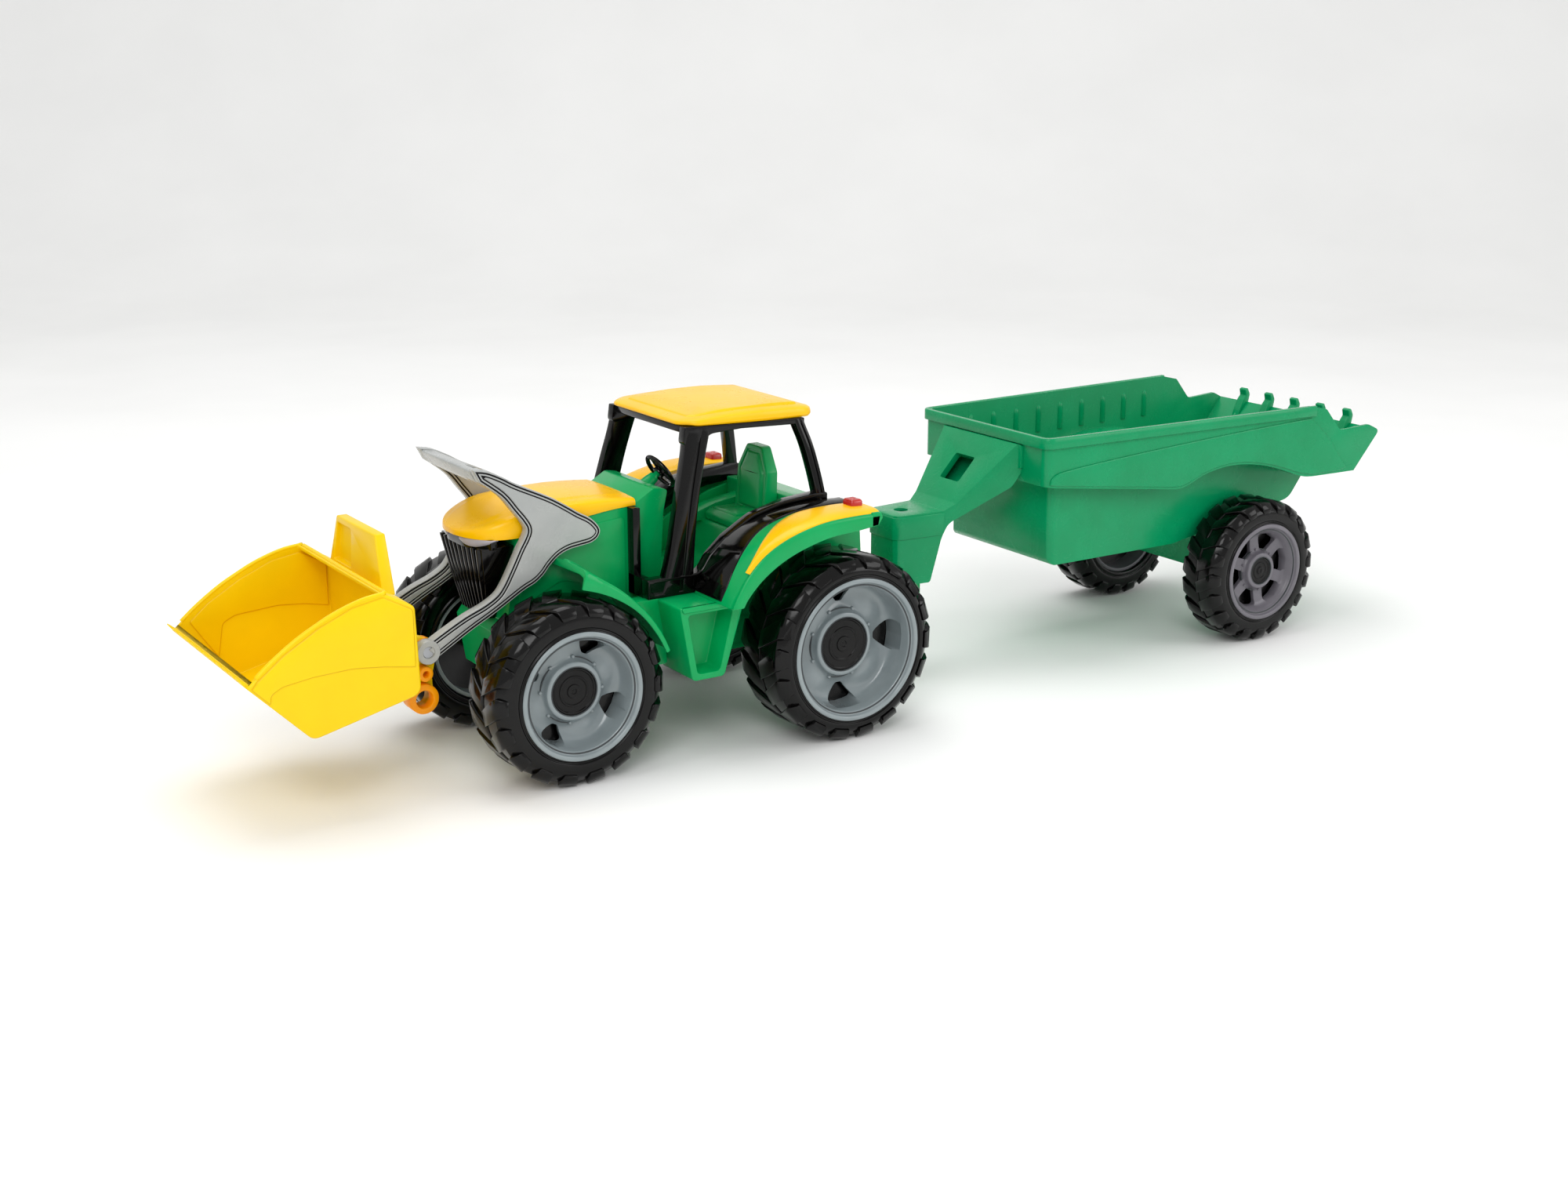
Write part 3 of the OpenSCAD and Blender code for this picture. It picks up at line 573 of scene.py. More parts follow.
cap_rings = []
for x in xs:
    w = 41.0 if x <= 240 else 41.0 * max(0.0, 1 - ((x - 240) / 37.2) ** 2.5) ** 0.5
    w = max(w, 6.0 if x > 276 else 0)
    zt, zb = at(zt_l, x), at(zb_l, x)
    H = zt - zb
    drop = 1.0 if x < 240 else 1 - 0.25 * (x - 240) / 37
    prof = [(1.0, 0.0), (1.0, 0.40), (0.985, 0.66), (0.955, 0.80), (0.90, 0.88), (0.78, 0.925), (0.70, 0.935), (0.66, 0.985), (0.60, 1.0), (0.35, 1.03), (0.12, 1.045)]
    ring = [(x, w * a, zb + H * b * drop) for a, b in prof] + [(x, -w * a, zb + H * b * drop) for a, b in reversed(prof)]
    cap_rings.append(ring)
make("hood_top_cover", loft(cap_rings), "chassis", "yellow_trim", ["hood_cap"], bevel=0.5, seg=2, angle=42, sharp=60)

# grille: sunk panel, frame and slanted bars
gr = loft([[(241.8, -36, 170), (241.8, 36, 170), (252.6, 22, 113), (252.6, -22, 113)], [(268, -35.6, 170), (268, 35.6, 170), (258.2, 21.6, 113), (258.2, -21.6, 113)]])
for i in range(-4, 5):
    yt, yb = i * 7.9, i * 4.9
    hw_t, hw_b = 2.5, 1.5
    out = 1.9 - 0.05 * i * i
    gr.add(loft([[(264, yt - hw_t, 169.5), (264, yt + hw_t, 169.5), (269.6 + out, yt + hw_t * 0.5, 169.5), (269.6 + out, yt - hw_t * 0.5, 169.5)],
                 [(260, (yt + yb) / 2 - 2.0, 141), (260, (yt + yb) / 2 + 2.0, 141), (264.6 + out, (yt + yb) / 2 + 1.1, 141), (264.6 + out, (yt + yb) / 2 - 1.1, 141)],
                 [(255, yb - hw_b, 114), (255, yb + hw_b, 114), (259.4 + out * 0.6, yb + hw_b * 0.5, 114), (259.4 + out * 0.6, yb - hw_b * 0.5, 114)]]))
make("grille_bars", gr, "chassis", "black_body", ["grille"], bevel=0.5, seg=2)
gb = []
for k in range(17):
    y = -37.5 + 75 * k / 16
    x = min(274.6, 217 + math.sqrt(59.0 ** 2 - y * y)) - 1.6
    gb.append([(256, y, 176.4), (x, y, 176.4), (x - 0.6, y, 168.6), (256, y, 168.6)])
make("grille_brow", loft(gb), "chassis", "black_body", bevel=0.6, seg=2)

# crescent headlights under the cap
hl = []
for i in range(15):
    t = i / 14
    y = 11 + 27.5 * t
    x = min(274.6, 217 + math.sqrt(59.0 ** 2 - y * y)) - 1.4
    th = 1.0 + 5.0 * math.sin(math.pi * min(1, t * 0.9 + 0.1)) ** 0.7
    zc = 176.3
    hl.append([(x - 6, y * 0.96, zc - th), (x, y, zc - th), (x + 1.2, y, zc - th * 0.5), (x + 0.8, y, zc), (x - 6, y * 0.96, zc)])
make("headlight_lenses", loft(hl).both(), "chassis", "headlight_silver", ["headlights"], bevel=0.4, seg=2)

# footsteps: box with light bevelled edges, a lip and a deep tapering pocket
st_o = rounded([(142, 122), (86, 122), (88, 114), (104, 64), (132, 64)], [2, 3, 6, 5, 5], 5)
fs = prism(st_o, 58, 104)
fs.add(relief(dense(rounded([(141, 122), (88, 122), (90, 118.2), (139.5, 118.2)], 1.2, 3), 2), [(0, 102), (0, 105.2), (0.6, 105.8)]))
fs.add(prism(rounded([(163, 122), (140, 122), (134, 70), (144, 70), (145, 90), (154, 109)], [2, 2, 3, 3, 12, 12], 6), 56, 70))
fs.add(prism([(146, 112), (90, 112), (104, 70), (146, 70)], 37, 58))
pocket = prism(rounded([(134.5, 116), (96.5, 116), (108.5, 69.5), (126.5, 69.5)], [3, 3, 4, 4], 4), 84, 108)
pocket = loft([[(p[0] * 0.93 + 8.2, 86, p[1] * 0.95 + 4.6) for p in rounded([(134.5, 116), (96.5, 116), (108.5, 69.5), (126.5, 69.5)], [3, 3, 4, 4], 4)],
               [(p[0], 108, p[1]) for p in rounded([(135.5, 116), (95.5, 116), (107.5, 68.5), (127.5, 68.5)], [3, 3, 4, 4], 4)]])
fs_box = prism(st_o, 58, 104)
fs_rest = G()
fs_rest.add(relief(dense(rounded([(141, 122), (88, 122), (90, 118.2), (139.5, 118.2)], 1.2, 3), 2), [(0, 102), (0, 105.2), (0.6, 105.8)]))
fs_rest.add(prism(rounded([(163, 122), (140, 122), (134, 70), (144, 70), (145, 90), (154, 109)], [2, 2, 3, 3, 12, 12], 6), 56, 70))
fs_rest.add(prism([(146, 112), (90, 112), (104, 70), (146, 70)], 37, 58.5))
for side, nm in ((1, "left"), (-1, "right")):
    make(f"footstep_box_{nm}", fs_box if side > 0 else fs_box.mirrored(), "chassis", "green_body", [f"footstep_{nm}"], cuts=[pocket if side > 0 else pocket.mirrored()], bevel=0.9, seg=3)
    make(f"footstep_bracket_{nm}", fs_rest if side > 0 else fs_rest.mirrored(), "chassis", "green_body", bevel=0.8, seg=2)

# ------------------------------------------------------------------ cab
sill_o = rounded([(150, 122), (100, 122), (88, 132), (72, 148), (48, 161), (24, 169), (-12, 173), (-12, 185), (-2, 185.5), (28, 183), (57, 175.5), (81, 162), (96, 149), (104, 137), (150, 137)],
                 [1.5, 14, 16, 22, 30, 40, 2, 2, 10, 60, 30, 16, 16, 10, 1.5], 6)
frame_g = relief(dense(sill_o, 4), [(0, 61), (0, 69.7), (0.8, 70.5), (2.6, 70.5), (3.1, 69.9)])


def post(path, secs):
    """path of (x centre, y outer, z); secs gives half-width and depth; grooved outer face."""
    rings = []
    for (x, y, z), (hw, dp) in zip(path, secs):
        pr = [(-1, -dp), (-1, -1.4), (-0.9, -0.3), (-0.78, 0), (-0.30, 0), (-0.24, -1.3), (-0.10, -1.3), (-0.04, 0), (0.74, 0), (0.9, -0.4), (1, -1.6), (1, -dp)]
        rings.append([(x + hw * a, y + b, z) for a, b in pr])
    return loft(rings)


A_path = spline([(124, 70.5, 124), (122.5, 70.5, 134), (118.5, 69.6, 155), (113.8, 67.6, 180), (108.0, 65.0, 205), (102.4, 62.4, 226), (99.0, 60.4, 240), (98.3, 60, 245.2)], 4)
A_sec = spline([(15.0, 9.5), (12.8, 9.5), (10.6, 9.4), (9.6, 9.2), (9.2, 9), (9.4, 8.6), (10.4, 8.2), (11.4, 8)], 4)
frame_g.add(post(A_path, A_sec))
C_path = spline([(-7, 70.5, 172), (-6.2, 70.3, 182), (-3.2, 68, 200), (1.6, 64.4, 222), (6.4, 61.2, 237), (8.6, 60, 243.4)], 5)
C_sec = [(5.2, 9.3)] * 4 + [(4.5, 8.6)] * (len(C_path) - 4)
frame_g.add(post(C_path, C_sec))
# headers with gussets running into the posts
hd = rounded([(3, 238.8), (12, 239.6), (60, 241.4), (88, 240.2), (94, 234.5), (112, 233), (110, 247.4), (3, 243.9)], [3, 6, 20, 14, 10, 4, 1, 1], 5)
frame_g.add(relief(dense(hd, 4), [(0, 52), (0, 59.4), (0.6, 60)]))
frame_g = frame_g.both()
frame_g.add(prism(rounded([(97, 241.4), (109, 241.8), (109, 247.4), (97, 247.0)], 1, 3), -54, 54))
frame_g.add(prism(rounded([(3, 238.6), (12, 239.2), (12, 244.1), (3, 243.8)], 1, 3), -54, 54))
# strips beside the hood and the bar under the windscreen
strip = box(144, 150, 40.5, 49.5, 122, 188.2)
strip.add(box(144, 150, 40.5, 62, 122, 137))
frame_g.add(strip.both())
make("cab_black_frame", frame_g, "chassis", "black_body", ["cab_frame"], bevel=0.6, seg=2, angle=36)

roof_o = dense(rounded([(-10, -50), (-10, 50), (-2, 58), (40, 61), (100, 61), (112, 50), (112, -50), (100, -61), (40, -61), (-2, -58)], [14, 14, 14, 40, 14, 14, 14, 14, 40, 14], 5), 6)


def roof_z(x, k):
    lo = 243.7 + (x + 10) * 4.07 / 122
    hi = 250.6 + 3.0 * math.sin(math.pi * min(1, max(0, (x + 14) / 132)))
    return lo + (hi - lo) * k


rr = [(1.2, 0.0), (0, 0.22), (0, 0.55), (0.8, 0.85), (2.6, 1.0), (9, 1.12), (11, 1.12), (12.2, 1.32), (14.5, 1.36), (30, 1.5)]
rings = []
for d, k in rr:
    lp = inset(roof_o, d)
    rings.append([(p[0], p[1], min(255.9, roof_z(p[0], k))) for p in lp])
make("cab_roof_cover", loft(rings), "chassis", "yellow_trim", ["cab_roof"], bevel=0.35, seg=2, angle=28, sharp=45)

# seat: cushion and an octagonal back with a raised panel
sg = prism(rounded([(5, 152), (44, 152), (44, 158), (40, 161.4), (5, 161)], [1, 2, 3, 4, 1], 4), -22, 22)
for x0, tilt in ((0, 0),):
    back = dense(rounded([(-22, 158), (22, 158), (22, 194), (11, 213), (-11, 213), (-22, 194)], [2, 2, 5, 5, 5, 5], 4), 3)
    inner = []

    def lean(p, k):
        # p = (y, z); the back leans rearwards with height
        f = (p[1] - 158) / 55
        return (17.2 - 5.4 * f - k, p[0], p[1])
    rg = []
    for d, k in [(0, 12.6), (0, 1.0), (0.8, 0.2), (3.6, 0.0), (4.4, 1.2), (5.6, 1.2), (6.4, -0.6), (9, -1.0)]:
        rg.append([lean(p, k - (0 if k < 5 else 4.0 * (p[1] - 158) / 55)) for p in inset(back, d)])
    sg.add(loft(rg))
sg.add(prism(rounded([(16, 161), (40, 161), (38, 163), (18, 163)], 1, 3), -17, 17))
make("seat_shell", sg, "chassis", "green_body", ["seat"], bevel=0.7, seg=2)

# dashboard slab with stepped consoles
db = prism(rounded([(143, 122), (143, 189), (126, 199), (114, 197), (118, 180), (122, 122)], [1, 3, 5, 3, 10, 1], 4), -39, 39)
db.add(relief(dense(rounded([(-30, 130), (30, 130), (30, 176), (-30, 176)], 5, 4), 4), [(0, 122.5), (0, 119.5), (0.8, 118.9), (4, 118.9), (4.6, 119.6)], "x"))
T = math.radians(-56)


def tilted(p):
    x, y, z = p
    return (98 + x * math.cos(T) + z * math.sin(T), y, 202 - x * math.sin(T) + z * math.cos(T))


col = loft([[(r * math.cos(2 * math.pi * k / 24), r * math.sin(2 * math.pi * k / 24), z) for k in range(24)] for r, z in ((5.4, -26), (5.0, -12), (4.2, -6.5), (2.5, -6), (2.5, 0.9))]).moved(tilted)
db.add(col)
make("dashboard_block", db, "chassis", "green_body", ["dashboard"], bevel=0.7, seg=2)
sw = revolve([(14 + 1.8 * math.cos(2 * math.pi * k / 14), 1.8 * math.sin(2 * math.pi * k / 14)) for k in range(14)], 60)
for i in range(3):
    a = 2 * math.pi * i / 3
    c, s = math.cos(a), math.sin(a)
    bar = loft([[(q * c - w * s, q * s + w * c, h) for w, h in ((-1.5, -1.1), (1.5, -1.1), (1.5, 1.1), (-1.5, 1.1))] for q in (3.2, 8, 13.5)])
    sw.add(bar)
sw.add(revolve([(2.6, -3), (5, -3), (5, 1.6), (4.4, 2.8), (3, 3), (0.001, 3), (0.001, 1.4), (2.6, 1.3)], 32))
make("steering_wheel_rim", sw.moved(tilted), "steering", "black_body", ["steering_wheel"], bevel=0.3, seg=2, angle=45, sharp=50)

# cab floor, with side consoles beside the seat
cf = prism(rounded([(143, 112), (143, 122), (52, 122), (45, 152), (3, 152), (2, 176), (-6, 176), (-51, 164), (-54, 112)], [0, 1, 8, 5, 2, 1.5, 10, 8, 1], 5), -58, 58)
for yy in (30, ):
    cs = prism(rounded([(52, 150), (50, 158), (34, 163), (2, 168), (2, 150)], [2, 4, 8, 2, 1], 4), 26, 40)
    cs.add(prism(rounded([(62, 120), (56, 140), (44, 152), (4, 160), (4, 120)], [2, 8, 8, 2, 1], 4), 40, 57.5))
    cs.add(prism(rounded([(90, 121), (84, 132), (60, 150), (20, 166), (-6, 172), (-6, 121)], [2, 10, 20, 20, 2, 1], 4), 57, 60.8))
    cf.add(cs.both())
make("cab_floor_tray", cf, "chassis", "green_body", ["cab_floor"], bevel=0.7, seg=2)

# ------------------------------------------------------------------ rear fenders
ft = spline([(111, 122), (106, 132), (96, 147), (80, 161), (58, 171.2), (30, 177.8), (2, 179.4), (-22, 179)], 6)
fb = spline([(101, 122), (97, 128.5), (85, 140.5), (68, 151.5), (48, 159.5), (24, 165.2), (0, 167), (-20, 169)], 6)


def rear_sec(t):
    k = 0.42
    return [(71, 0.06), (74, 0.0), (121, 0.0), (122.4, 0.06), (125, 0.10), (126.5, 0.06), (127.4, 0.12), (128, 0.28), (128, 1.0), (125.6, 1.02), (124.6, k + 0.1), (118, k), (71, k)]


fen = band(ft, fb, rear_sec)
fen.add(prism(rounded([(-22, 150), (-22, 178), (10, 177), (30, 174), (60, 166), (84, 152), (98, 122), (90, 122), (70, 140), (40, 152), (10, 156)], [1, 1, 20, 20, 20, 20, 1, 1, 20, 20, 20], 4), 71, 74))
tip = rounded([(-14, 179.4), (-22, 179.2), (-24, 175), (-20, 169), (-14, 168.4)], [0, 1, 2, 1, 0], 3)
fen.add(prism(tip, 71, 128))


def smooth(a, b, t):
    u = min(1.0, max(0.0, (t - a) / (b - a)))
    return u * u * (3 - 2 * u)


def inner_edge(t):
    # inner border of the yellow crescent: a point low on the fender, widest over the wheel
    return 124.0 - 33.0 * smooth(0.0, 0.62, t)


def trim_sec(t):
    yi = inner_edge(t)
    yo = 126.2
    w = yo - yi
    return [(yi, 0.3), (yi, -0.06), (yi + 0.12 * w, -0.17), (yi + 0.25 * w, -0.2), (yo - 0.3 * w, -0.2), (yo - 0.14 * w, -0.15), (yo, 0.0), (yo, 0.3)]


def black_sec(t):
    # black band laid on the fender between the cab sill and the crescent
    yi = 71.2
    yo = max(86.0, min(inner_edge(t) - 1.2, 110.0 - 21.0 * smooth(0.1, 0.7, t)))
    return [(yi, 0.2), (yi, -0.05), (yi + 0.5, -0.09), (yo - 0.9, -0.09), (yo - 0.2, -0.05), (yo, 0.03), (yo, 0.2)]


i0 = 12
trim = band(ft[i0:], fb[i0:], trim_sec)
strip_b = band(ft[2:], fb[2:], black_sec)
for side, nm in ((1, "left"), (-1, "right")):
    make(f"rear_fender_arch_{nm}", fen if side > 0 else fen.mirrored(), "chassis", "green_body", [f"rear_fender_{nm}"], bevel=0.6, seg=2, angle=40)
    make(f"fender_strip_{nm}", trim if side > 0 else trim.mirrored(), "chassis", "yellow_trim", [f"fender_trim_{nm}"], bevel=0.3, seg=2, angle=40)
    make(f"fender_band_{nm}", strip_b if side > 0 else strip_b.mirrored(), "chassis", "black_body", bevel=0.3, seg=2, angle=40)
lamp = relief(dense(rounded([(-18, 97), (-7, 97), (-7, 110), (-18, 110)], 2.5, 4), 3), [(0, 178), (0, 184.4), (0.7, 185.7), (1.8, 186.3), (3.2, 186.3), (3.7, 185.8)], "z")
make("tail_lamp_lenses", lamp.both(), "chassis", "lamp_red", ["tail_lamps"], bevel=0.3, seg=2)

# ------------------------------------------------------------------ loader
outer = spline([(279, 233), (268, 231), (256, 225.4), (245, 219), (220, 207), (206, 198.6), (196, 192), (187, 186.8), (181.2, 181.4), (178.4, 176), (180.6, 170.8), (186.5, 167.4), (196, 166), (205, 164.6), (213, 161.2), (220, 155.4),
                (226, 148.6), (233, 143.4), (243, 138.8), (265, 126), (286, 115), (312.5, 99.5)], 4)
inner = spline([(325.5, 108), (308, 117.8), (290, 127), (275, 133), (264.5, 139), (259, 145.5), (254.6, 153), (250, 161.5), (245, 171), (240.5, 178.4), (238.6, 184), (241.5, 190), (248, 198.4), (258, 211), (274, 223.4)], 4)
arm_o = dense([p for p in outer] + [(316, 98)] + [p for p in inner], 2.2)
face = [(0, 50.2), (0.4, 50.9), (1.0, 50.9), (1.1, 50.0), (2.2, 50.0), (2.3, 50.9), (3.3, 50.9), (3.4, 50.0), (4.2, 50.0), (4.3, 51.2), (4.8, 51.7)]
# faces marked 1 lie in the two grooves along the arm's face and take the dark plastic: painted shade
groove_shade_mask = [0, 0, 1, 1, 1, 0, 1, 1, 1, 0, 0]
back_r = [(d, 94 - t) for d, t in reversed(face)]
loops = back_r + face
arm_groove_shade_index = [0] * len(loops)
arm_groove_shade_index = ([groove_shade_mask[len(face) - 2 - k] if k < len(face) - 1 else 0 for k in range(len(face))] + groove_shade_mask)
arm_g = relief(arm_o, loops, mats=arm_groove_shade_index)
for side, nm in ((1, "left"), (-1, "right")):
    g = arm_g if side > 0 else arm_g.mirrored()
    make(f"loader_arm_plate_{nm}", g, "loader", "loader_silver", [f"loader_arm_{nm}"], bevel=0, mats=[MAT["loader_silver"], GROOVE_PAINTED_SHADE], sharp=30)
# hollow ends of the arms round the bucket's rod; the wall and floor of each hole are black, painted shade in the hole
end = G()
prof_e = [(4.1, 51.2), (4.1, 49.0), (0.001, 49.0), (0.001, 44), (8.5, 44), (8.9, 44.6), (8.9, 51.6), (8.4, 52.2), (4.7, 52.2)]
me_ = len(prof_e)
for k in range(40):
    a = 2 * math.pi * k / 40
    for r, y in prof_e:
        end.v.append((319 + r * math.cos(a), y, 105 + r * math.sin(a)))
for k in range(40):
    a, b = k * me_, ((k + 1) % 40) * me_
    for i in range(me_ - 1):
        end.f.append((a + i, a + i + 1, b + i + 1, b + i))
        # faces 0 and 1, the hole's wall and floor, take black: painted shade
        end.m.append(1 if i in (0, 1) else 0)
    end.f.append((a + me_ - 1, a, b, b + me_ - 1))
    end.m.append(0)
make("loader_arm_ends", end.both(), "loader", "loader_silver", bevel=0, mats=[MAT["loader_silver"], MAT["black_body"]], sharp=40)
hb = prism(rounded([(279, 232), (268, 230.5), (250, 221), (247, 214), (258, 213), (274, 223)], [2, 6, 4, 3, 4, 3], 5), -43, 43)
make("loader_grip", hb, "loader", "loader_silver", ["loader_handle"], cuts=[box(264, 271, 20, 34, 195, 245)], bevel=1.2, seg=3)

# ------------------------------------------------------------------ bucket


def ring_tube(x, z, r0, r1, y0, y1, n=40):
    """Short tube across the set, with soft lips."""
    g = G()
    prof = [(r1, y0 + 0.4), (r0 - 0.6, y0), (r0, y0 + 0.7), (r0, y1 - 0.7), (r0 - 0.6, y1), (r1 + 0.5, y1), (r1, y1 - 0.6)]
    m = len(prof)
    for k in range(n):
        a = 2 * math.pi * k / n
        for r, y in prof:
            g.v.append((x + r * math.cos(a), y, z + r * math.sin(a)))
    for k in range(n):
        a, b = k * m, ((k + 1) % n) * m
        for i in range(m):
            j = (i + 1) % m
            g.f.append((a + i, a + j, b + j, b + i))
            g.m.append(0)
    return g


free = spline([(363, 162.6), (375, 161.2), (386, 158.3), (399, 153.6), (411, 147.8), (424, 140.9), (436, 133), (446, 125.6), (455, 118), (462, 111.8)], 3)
bo = [(462, 111.8), (418, 67), (338, 86), (340, 150)]
b_o = [(462, 111.8)] + rounded([(462, 111.8), (418, 67), (338, 86), (340, 150), (363, 162.6)], [0, 9, 9, 6, 0], 6)[1:-1] + [(363, 162.6)] + free[1:-1]
shell = relief(b_o, [(1.6, -82), (0.5, -81.5), (0, -80.4), (0, 80.4), (0.5, 81.5), (1.6, 82)])
cav = rounded([(341.2, 88.6), (417, 70.6), (459.2, 112.6), (480, 128), (480, 190), (365.5, 190), (363.9, 159.9), (343, 148.2)], [8, 8, 0, 0, 0, 0, 1, 6], 6)
cavity = prism(cav, -79, 79)
make("bucket_shell", shell, "bucket", "bucket_yellow", ["bucket"], cuts=[cavity], bevel=0.7, seg=3, angle=38)

detail = G()
# stepped panels on the end walls, outside and inside; the sides of each step take a darker yellow, painted shade
step_o = rounded([(446.5, 97.5), (446, 104.5), (438, 109), (416, 112), (388, 113.2), (365, 110.6), (342, 106.6), (342, 148.4), (363.4, 160.4), (386, 156.2), (411, 145.6), (436, 130.8), (455, 115.6), (459.2, 110.6)],
                 [1, 5, 14, 20, 30, 20, 1, 5, 4, 20, 20, 20, 4, 1], 5)
detail.add(relief(dense(step_o, 4), [(0, 80.6), (0, 82.6), (0.7, 83.2), (1.2, 83.4)], mats=[1, 1, 0, 0]).both())
step_i = rounded([(430, 86), (425.5, 112), (416, 116.6), (383, 119), (362, 117), (343.4, 113), (343.6, 146), (363.4, 157.6), (386, 154), (411, 143.4), (436, 128.6), (450, 116.5)],
                 [1, 6, 14, 30, 20, 1, 4, 4, 20, 20, 20, 2], 5)
detail.add(relief(dense(step_i, 4), [(0, 80), (0, 78.4), (0.5, 77.9), (0.9, 77.8)], mats=[1, 1, 0, 0]).both())
# rounded bead along the opening
bead = [(p[0], 80.6, p[1] - 0.6) for p in reversed(free[:-3])] + [(361.5, 79.5, 162.6), (360.8, 76, 162.4)]
bead += [(360.8, -76 + 152 * (1 - k / 8), 162.4) for k in range(1, 8)]
bead += [(360.8, -76, 162.4), (361.5, -79.5, 162.6)] + [(p[0], -80.6, p[1] - 0.6) for p in free[:-3]]
detail.add(tube(bead, 1.75, 10))
# teeth on the cutting edge
nt_ = 12
pit = 164 / nt_
for i in range(nt_):
    yc_ = -82 + (i + 0.5) * pit
    tooth = []
    for s_, n0, n1, hw in ((-6, 0.3, 2.7, 3.9), (0.2, 0.3, 2.7, 3.8), (3.8, 0.6, 2.4, 2.9), (8.0, 1.1, 1.9, 1.4)):
        bx, bz = 462 + 0.7007 * s_, 111.8 + 0.7134 * s_
        p0 = (bx - 0.7134 * n0, bz + 0.7007 * n0)
        p1 = (bx - 0.7134 * n1, bz + 0.7007 * n1)
        tooth.append([(p0[0], yc_ - hw, p0[1]), (p0[0], yc_ + hw, p0[1]), (p1[0], yc_ + hw, p1[1]), (p1[0], yc_ - hw, p1[1])])
    detail.add(loft(tooth))
# folded lip behind the teeth
lip = []
for s_, n_l in ((-10.5, 0.15), (0.6, 0.15), (0.6, 2.2), (-0.2, 3.1), (-9.6, 3.3), (-10.5, 2.9)):
    lip.append((462 + 0.7007 * s_ - 0.7134 * n_l, 111.8 + 0.7134 * s_ + 0.7007 * n_l))
detail.add(prism(lip, -79.6, 79.6))
# ridges on the floor of the bucket
for yy in (-41, 0, 41):
    detail.add(loft([[(x, yy - 1.6, z - 2), (x, yy + 1.6, z - 2), (x, yy + 0.9, z + 1.2), (x, yy - 0.9, z + 1.2)] for x, z in ((352, 86.4), (385, 78.6), (413, 72.0), (420, 74.6), (448, 102.6))]))
# hinge lugs, bosses and open rings
lug = prism(rounded([(339, 117), (322, 115), (310, 110), (310, 98), (313.5, 84), (313, 66), (322, 59), (339, 84)], [0, 8, 5, 5, 6, 6, 8, 0], 6), 34, 42)
lug.add(ring_tube(321, 88.5, 5.6, 2.4, 36, 50))
lug.add(ring_tube(319, 105, 8.6, 4.3, 33.4, 42.4))
for y0 in (34.0,):
    lug.add(ring_tube(323, 70, 11.1, 6.5, y0, 50))
cut_l = [prism(ring_of(323, 70, 6.5, 40), 30, 54), prism(ring_of(319, 105, 4.3, 32), 30, 48), prism(ring_of(321, 88.5, 2.4, 24), 44, 54)]
make("bucket_details", detail, "bucket", "bucket_yellow", bevel=0.4, seg=2, angle=40, mats=[MAT["bucket_yellow"], STEP_PAINTED_SHADE])
lug2 = lug.both()
make("bucket_hinge_lugs", prism(rounded([(339, 117), (322, 115), (310, 110), (310, 98), (313.5, 84), (313, 66), (322, 59), (339, 84)], [0, 8, 5, 5, 6, 6, 8, 0], 6), 34, 42).both(), "bucket", "bucket_yellow",
     cuts=[c.both() for c in cut_l[:2]], bevel=0.7, seg=2)
rg_ = G()
rg_.add(ring_tube(321, 88.5, 5.6, 2.4, 36, 50)).add(ring_tube(319, 105, 8.6, 4.3, 33.4, 42.5)).add(ring_tube(323, 70, 11.1, 6.5, 33.6, 50))
# the rings take the orange copy of the bucket's yellow: painted shade
make("bucket_hinge_rings", rg_.both(), "bucket", "bucket_yellow", bevel=0, sharp=50, mats=[HINGE_PAINTED_SHADE])
# spill guard with a recess
gd = loft([[(341, -50, 150.5), (341, 50, 150.5), (351.2, 50, 154.5), (351.2, -50, 154.5)], [(341, -36, 192.5), (341, 36, 192.5), (349, 36, 192.5), (349, -36, 192.5)]])
gcut = loft([[(346, -41, 159), (346, -9, 159), (355, -8, 159), (355, -42, 159)], [(346, -34, 187), (346, -9, 187), (355, -8, 187.6), (355, -34.6, 187.6)]])
make("bucket_guard", gd, "bucket", "bucket_yellow", cuts=[gcut], bevel=1.1, seg=3)

# ------------------------------------------------------------------ trailer


def split_prism(outline, width, cuts_x):
    """A prism across the set whose half-width varies along X; it is split at the given X so that it can bend there."""
    ob = raw("tmp_prism", G())
    bm = bmesh.new()
    n = len(outline)
    a = [bm.verts.new((p[0], -1.0, p[1])) for p in outline]
    b = [bm.verts.new((p[0], 1.0, p[1])) for p in outline]
    bm.faces.new(a)
    bm.faces.new(list(reversed(b)))
    for i in range(n):
        j = (i + 1) % n
        bm.faces.new((a[i], b[i], b[j], a[j]))
    for x in cuts_x:
        bmesh.ops.bisect_plane(bm, geom=bm.verts[:] + bm.edges[:] + bm.faces[:], plane_co=(x, 0, 0), plane_no=(1, 0, 0), dist=0.01)
    bm.verts.index_update()
    g = G([(v.co.x, math.copysign(width(v.co.x, v.co.z), v.co.y), v.co.z) for v in bm.verts], [tuple(v.index for v in f.verts) for f in bm.faces])
    g.m = [0] * len(g.f)
    bm.free()
    me = ob.data
    bpy.data.objects.remove(ob)
    bpy.data.meshes.remove(me)
    return g


def tub_w(x, z=0, off=0.0, r=7.0, x_front=-222.0):
    w = 84 + 18 * min(1.0, max(0.0, (-x - 222) / 388)) + off
    d = x - (x_front - r)
    if d > 0:
        w -= r * (1 - math.sqrt(max(0.0, 1 - (min(d, r) / r) ** 2)))
    return w


